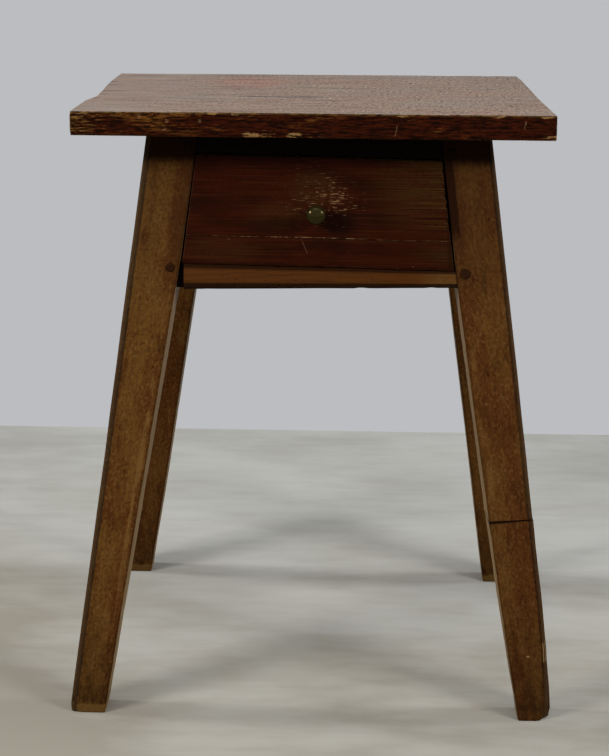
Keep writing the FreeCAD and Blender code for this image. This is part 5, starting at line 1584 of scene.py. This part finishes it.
CAMERA_PLACE = (0.04091, -2.15020, 0.89901)
CAMERA_PITCH, CAMERA_YAW, CAMERA_ROLL = 0.25579, -0.02642, 0.00817
CAMERA_LENS, CAMERA_SENSOR = 86.07, 36.0
LAMP_AWAY = 3.0
LAMP_AIM = Vector((0, 0, 0.45))
WARM, WHITE, COOL = (1.0, 0.97, 0.93), (1.0, 1.0, 1.0), (0.9, 0.95, 1.0)
# Name, degrees to the right of the front, degrees above the floor, width, height, level and hue.
LAMPS = (
    ("left_lamp", -52, 25, 0.9, 0.4, 0.63, WARM),
    ("right_lamp", 50, 25, 0.9, 0.4, 0.53, WHITE),
    ("ceiling_lamp", 10, 80, 1.1, 1.1, 0.11, WHITE),
    ("front_strip", 0, 50, 1.6, 0.25, 0.12, WHITE),
    ("left_window", -95, 28, 0.40, 0.40, 0.42, WHITE),
    ("right_window", 95, 28, 0.40, 0.40, 0.30, COOL),
)
SKY_TINT, SKY_LEVEL = (0.93, 0.97, 1.0), 0.20
FLOOR_NEAR, FLOOR_WIDE, WALL_LINE = -14.0, 14.0, 0.92


def place_in_scene(name, data):
    """A new object of the scene that shows this mesh, lamp or camera."""
    rig = bpy.data.objects.new(name, data)
    bpy.context.scene.collection.objects.link(rig)
    return rig


def camera():
    """A long lens a little above the table, level with its front."""
    data = bpy.data.cameras.new("camera")
    data.sensor_width = CAMERA_SENSOR
    data.lens = CAMERA_LENS
    rig = place_in_scene("camera", data)
    ahead = Vector((math.sin(CAMERA_YAW), math.cos(CAMERA_YAW), 0))
    right = Vector((math.cos(CAMERA_YAW), -math.sin(CAMERA_YAW), 0))
    up = Vector((0, 0, 1))
    sight = ahead * math.cos(CAMERA_PITCH) - up * math.sin(CAMERA_PITCH)
    upright = up * math.cos(CAMERA_PITCH) + ahead * math.sin(CAMERA_PITCH)
    across = right * math.cos(CAMERA_ROLL) + upright * math.sin(CAMERA_ROLL)
    upright = upright * math.cos(CAMERA_ROLL) - right * math.sin(CAMERA_ROLL)
    turn = Matrix((across, upright, -sight)).transposed()
    rig.matrix_world = Matrix.Translation(CAMERA_PLACE) @ turn.to_4x4()
    bpy.context.scene.camera = rig


def lamp(name, turn, rise, width, height, level, hue):
    """A soft lamp at these angles in degrees from the front and the floor, aimed at the table's middle.

    At a level of 1 it alone lights a face that is square to it as plain daylight would.
    """
    turn, rise = math.radians(turn), math.radians(rise)
    way = Vector((math.cos(rise) * math.sin(turn), -math.cos(rise) * math.cos(turn), math.sin(rise)))
    data = bpy.data.lights.new(name, "AREA")
    data.shape = "RECTANGLE"
    data.size = width
    data.size_y = height
    data.energy = level * (math.pi * LAMP_AWAY) ** 2
    data.color = hue
    rig = place_in_scene(name, data)
    rig.location = LAMP_AIM + way * LAMP_AWAY
    rig.rotation_mode = "QUATERNION"
    rig.rotation_quaternion = way.to_track_quat("Z", "Y")


def world():
    """Plain pale light all round; the eye, polished metal and glass see the backdrop's colour."""
    studio = bpy.data.worlds.new("studio")
    shade = Nodes(studio)
    seen = shade.node("ShaderNodeBackground", None, {"Color": tint("backdrop")})
    light = shade.node("ShaderNodeBackground", None, {"Color": (*SKY_TINT, 1.0), "Strength": SKY_LEVEL})
    rays = [
        shade.node("ShaderNodeLightPath", output=name)
        for name in ("Is Camera Ray", "Is Glossy Ray", "Is Transmission Ray")
    ]
    blend = shade.node("ShaderNodeMixShader", None, {0: shade.most(*rays), 1: light, 2: seen})
    shade.node("ShaderNodeOutputWorld", None, {"Surface": blend})
    bpy.context.scene.world = studio


def floor():
    """A pale floor, darker in front, mottled, with a painted shadow at the left, that ends at the wall line
    behind the table.
    """
    mesh = bpy.data.meshes.new("floor")
    mesh.from_pydata([
        (-FLOOR_WIDE, FLOOR_NEAR, 0), (FLOOR_WIDE, FLOOR_NEAR, 0),
        (FLOOR_WIDE, WALL_LINE, 0), (-FLOOR_WIDE, WALL_LINE, 0),
    ], [], [(0, 1, 2, 3)])
    shade = Finish("studio_floor")
    x, y, _ = shade.axes(shade.position)
    cloud = shade.noise(shade.position, (3.0, 4.5, 1.0), 4.0, 0.55)
    streak = shade.noise(shade.position, (9.0, 40.0, 1.0), 3.0, 0.6)
    in_front = shade.band(y, 0.75, -0.75)
    # Painted shadow at the left of the table.
    left_shadow = shade.band(x + y * 0.3, -0.22, -0.46) * shade.band(y, 0.55, 0.25)
    mottle_and_shadow = in_front * 0.80 + left_shadow * 0.4 + shade.band(cloud, 0.34, 0.74) * 0.40
    mottle_and_shadow = mottle_and_shadow + shade.band(streak, 0.35, 0.75) * 0.12 + 0.04
    base = shade.mix(mottle_and_shadow, "floor", "floor_worn")
    mesh.materials.append(shade.surface(base, 0.6 + cloud * 0.1, cloud, strength=0.05))
    place_in_scene("floor", mesh)


# --------------------------------------------------------------------------------------- operators


class TAVERN_OT_stage(bpy.types.Operator):
    """Floor, light and camera"""

    bl_idname = "tavern.stage"
    bl_label = "Stage"
    bl_options = {"REGISTER", "UNDO"}

    def execute(self, context):
        context.scene.view_settings.view_transform = "Standard"
        floor()
        world()
        camera()
        for row in LAMPS:
            lamp(*row)
        return {"FINISHED"}


class TAVERN_OT_top_board(bpy.types.Operator):
    """The one-board top"""

    bl_idname = "tavern.top_board"
    bl_label = "Top board"
    bl_options = {"REGISTER", "UNDO"}

    def execute(self, context):
        top_piece()
        return {"FINISHED"}


class TAVERN_OT_legs(bpy.types.Operator):
    """Four splayed legs, one of them spliced"""

    bl_idname = "tavern.legs"
    bl_label = "Legs"
    bl_options = {"REGISTER", "UNDO"}

    swell = (-0.0008, -0.0004, -0.0004, -0.0002, -0.0004, 0.0013)
    back_look = {"dull": 0.10, "red": 0.45, "rub": 0.06}
    # Side, end, node, how far its inner side stands out at its front and back, and its wood.
    whole_legs = (
        (LEFT, FRONT, "front_left_leg", (-0.0011, 0.0), {}),
        (LEFT, BACK, "back_left_leg", (0.0017, 0.0017), back_look),
        (RIGHT, BACK, "back_right_leg", (-0.0010, -0.0010), back_look),
    )

    def execute(self, context):
        for seed, (side, end, node, inner, look) in enumerate(self.whole_legs):
            place = LegPlace(side, end, node)
            leg = LegLength(place, 0.0, place.height, self.swell, inner)
            finish = leg_finish(node + "_wood", tuple(-place.slope), seed * 0.7 + 0.3, **look)
            leg_piece(node, leg, finish, "leg_wood", seed + 41)
        spliced_leg_pieces("front_right_leg", "front_right_leg_splice")
        return {"FINISHED"}


class TAVERN_OT_front_rails(bpy.types.Operator):
    """Rails over and under the drawer"""

    bl_idname = "tavern.front_rails"
    bl_label = "Front rails"
    bl_options = {"REGISTER", "UNDO"}

    low_edge = (-0.0037, 0.0015)

    def execute(self, context):
        dark = rail_paint_and_shade_finish()
        upper_rail_piece(dark)
        rail_tenon_piece(dark)
        finish = rail_finish("lower_rail_wood", X, 0.2, under=0.85)
        beaded_board("lower_front_rail", finish, X, FRONT, sizes().rail, 62, self.low_edge)
        return {"FINISHED"}


class TAVERN_OT_aprons(bpy.types.Operator):
    """Side and back aprons"""

    bl_idname = "tavern.aprons"
    bl_label = "Aprons"
    bl_options = {"REGISTER", "UNDO"}

    aprons = (("left_side_apron", Y, LEFT), ("right_side_apron", Y, RIGHT), ("back_apron", X, BACK))

    def execute(self, context):
        for seed, (node, run_axis, outer_end) in enumerate(self.aprons):
            finish = rail_finish(node + "_wood", run_axis, seed * 0.6 + 1.1)
            beaded_board(node, finish, run_axis, outer_end, sizes().apron, seed + 71)
        return {"FINISHED"}


class TAVERN_OT_pegs(bpy.types.Operator):
    """Draw-bore pegs of legs and splice"""

    bl_idname = "tavern.pegs"
    bl_label = "Pegs"
    bl_options = {"REGISTER", "UNDO"}

    def execute(self, context):
        finish = peg_finish()
        for node in ("front_rail_pegs", "side_apron_pegs", "back_apron_pegs"):
            pegs_piece(node, finish)
        dress_nodes(finish, "splice_dowel")
        return {"FINISHED"}


class TAVERN_OT_nails(bpy.types.Operator):
    """Cut nails of top, runners and drawer"""

    bl_idname = "tavern.nails"
    bl_label = "Nails"
    bl_options = {"REGISTER", "UNDO"}

    def execute(self, context):
        finish = iron_finish()
        dress_nodes(finish, "runner_nails", "drawer_bottom_nails")
        top_nails_piece(finish)
        return {"FINISHED"}


class TAVERN_OT_runners(bpy.types.Operator):
    """Runners, guides and stops of the drawer"""

    bl_idname = "tavern.runners"
    bl_label = "Runners"
    bl_options = {"REGISTER", "UNDO"}

    def execute(self, context):
        sides = [side + part for part in ("_drawer_runner", "_drawer_guide") for side in ("left", "right")]
        dress_nodes(raw_finish("runner_wood", Y, 0.5), *sides, "drawer_stops")
        return {"FINISHED"}


class TAVERN_OT_drawer_front(bpy.types.Operator):
    """Painted front of the drawer"""

    bl_idname = "tavern.drawer_front"
    bl_label = "Drawer front"
    bl_options = {"REGISTER", "UNDO"}

    def execute(self, context):
        drawer_front_piece()
        return {"FINISHED"}


class TAVERN_OT_drawer_box(bpy.types.Operator):
    """Sides, back and bottom of the drawer"""

    bl_idname = "tavern.drawer_box"
    bl_label = "Drawer box"
    bl_options = {"REGISTER", "UNDO"}

    def execute(self, context):
        dress_nodes(raw_finish("drawer_side_wood", Y, 1.3), "drawer_left_side", "drawer_right_side")
        dress_nodes(raw_finish("drawer_back_wood", X, 2.1), "drawer_back")
        dress_nodes(raw_finish("drawer_bottom_wood", X, 2.6), "drawer_bottom")
        return {"FINISHED"}


class TAVERN_OT_knob(bpy.types.Operator):
    """Brass knob and its screw"""

    bl_idname = "tavern.knob"
    bl_label = "Knob"
    bl_options = {"REGISTER", "UNDO"}

    def execute(self, context):
        knob_piece()
        dress_nodes(steel_finish(), "knob_screw")
        return {"FINISHED"}


OPERATORS = (
    TAVERN_OT_stage,
    TAVERN_OT_top_board,
    TAVERN_OT_legs,
    TAVERN_OT_front_rails,
    TAVERN_OT_aprons,
    TAVERN_OT_pegs,
    TAVERN_OT_nails,
    TAVERN_OT_runners,
    TAVERN_OT_drawer_front,
    TAVERN_OT_drawer_box,
    TAVERN_OT_knob,
)


class TAVERN_PT_panel(bpy.types.Panel):
    """Lists the sizes, the colours and the pieces"""

    bl_label = "Tavern Table"
    bl_idname = "TAVERN_PT_panel"
    bl_space_type = "VIEW_3D"
    bl_region_type = "UI"
    bl_category = "Tavern Table"

    def draw(self, context):
        for group in (context.scene.table_sizes, context.scene.table_colours):
            box = self.layout.box()
            for name in group.__annotations__:
                box.prop(group, name)
        for operator in OPERATORS:
            self.layout.operator(operator.bl_idname)


CLASSES = (TableSizes, TableColours, *OPERATORS, TAVERN_PT_panel)


def register():
    """Makes the operators, the panel and the scene's own sizes and colours known."""
    for cls in CLASSES:
        bpy.utils.register_class(cls)
    bpy.types.Scene.table_sizes = bpy.props.PointerProperty(type=TableSizes)
    bpy.types.Scene.table_colours = bpy.props.PointerProperty(type=TableColours)


def unregister():
    """Takes them all away again."""
    del bpy.types.Scene.table_sizes
    del bpy.types.Scene.table_colours
    for cls in reversed(CLASSES):
        bpy.utils.unregister_class(cls)


def main():
    """Registers the add-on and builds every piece."""
    register()
    for operator in OPERATORS:
        group, name = operator.bl_idname.split(".")
        getattr(getattr(bpy.ops, group), name)()
    bpy.context.view_layer.update()


if __name__ == "__main__":
    main()
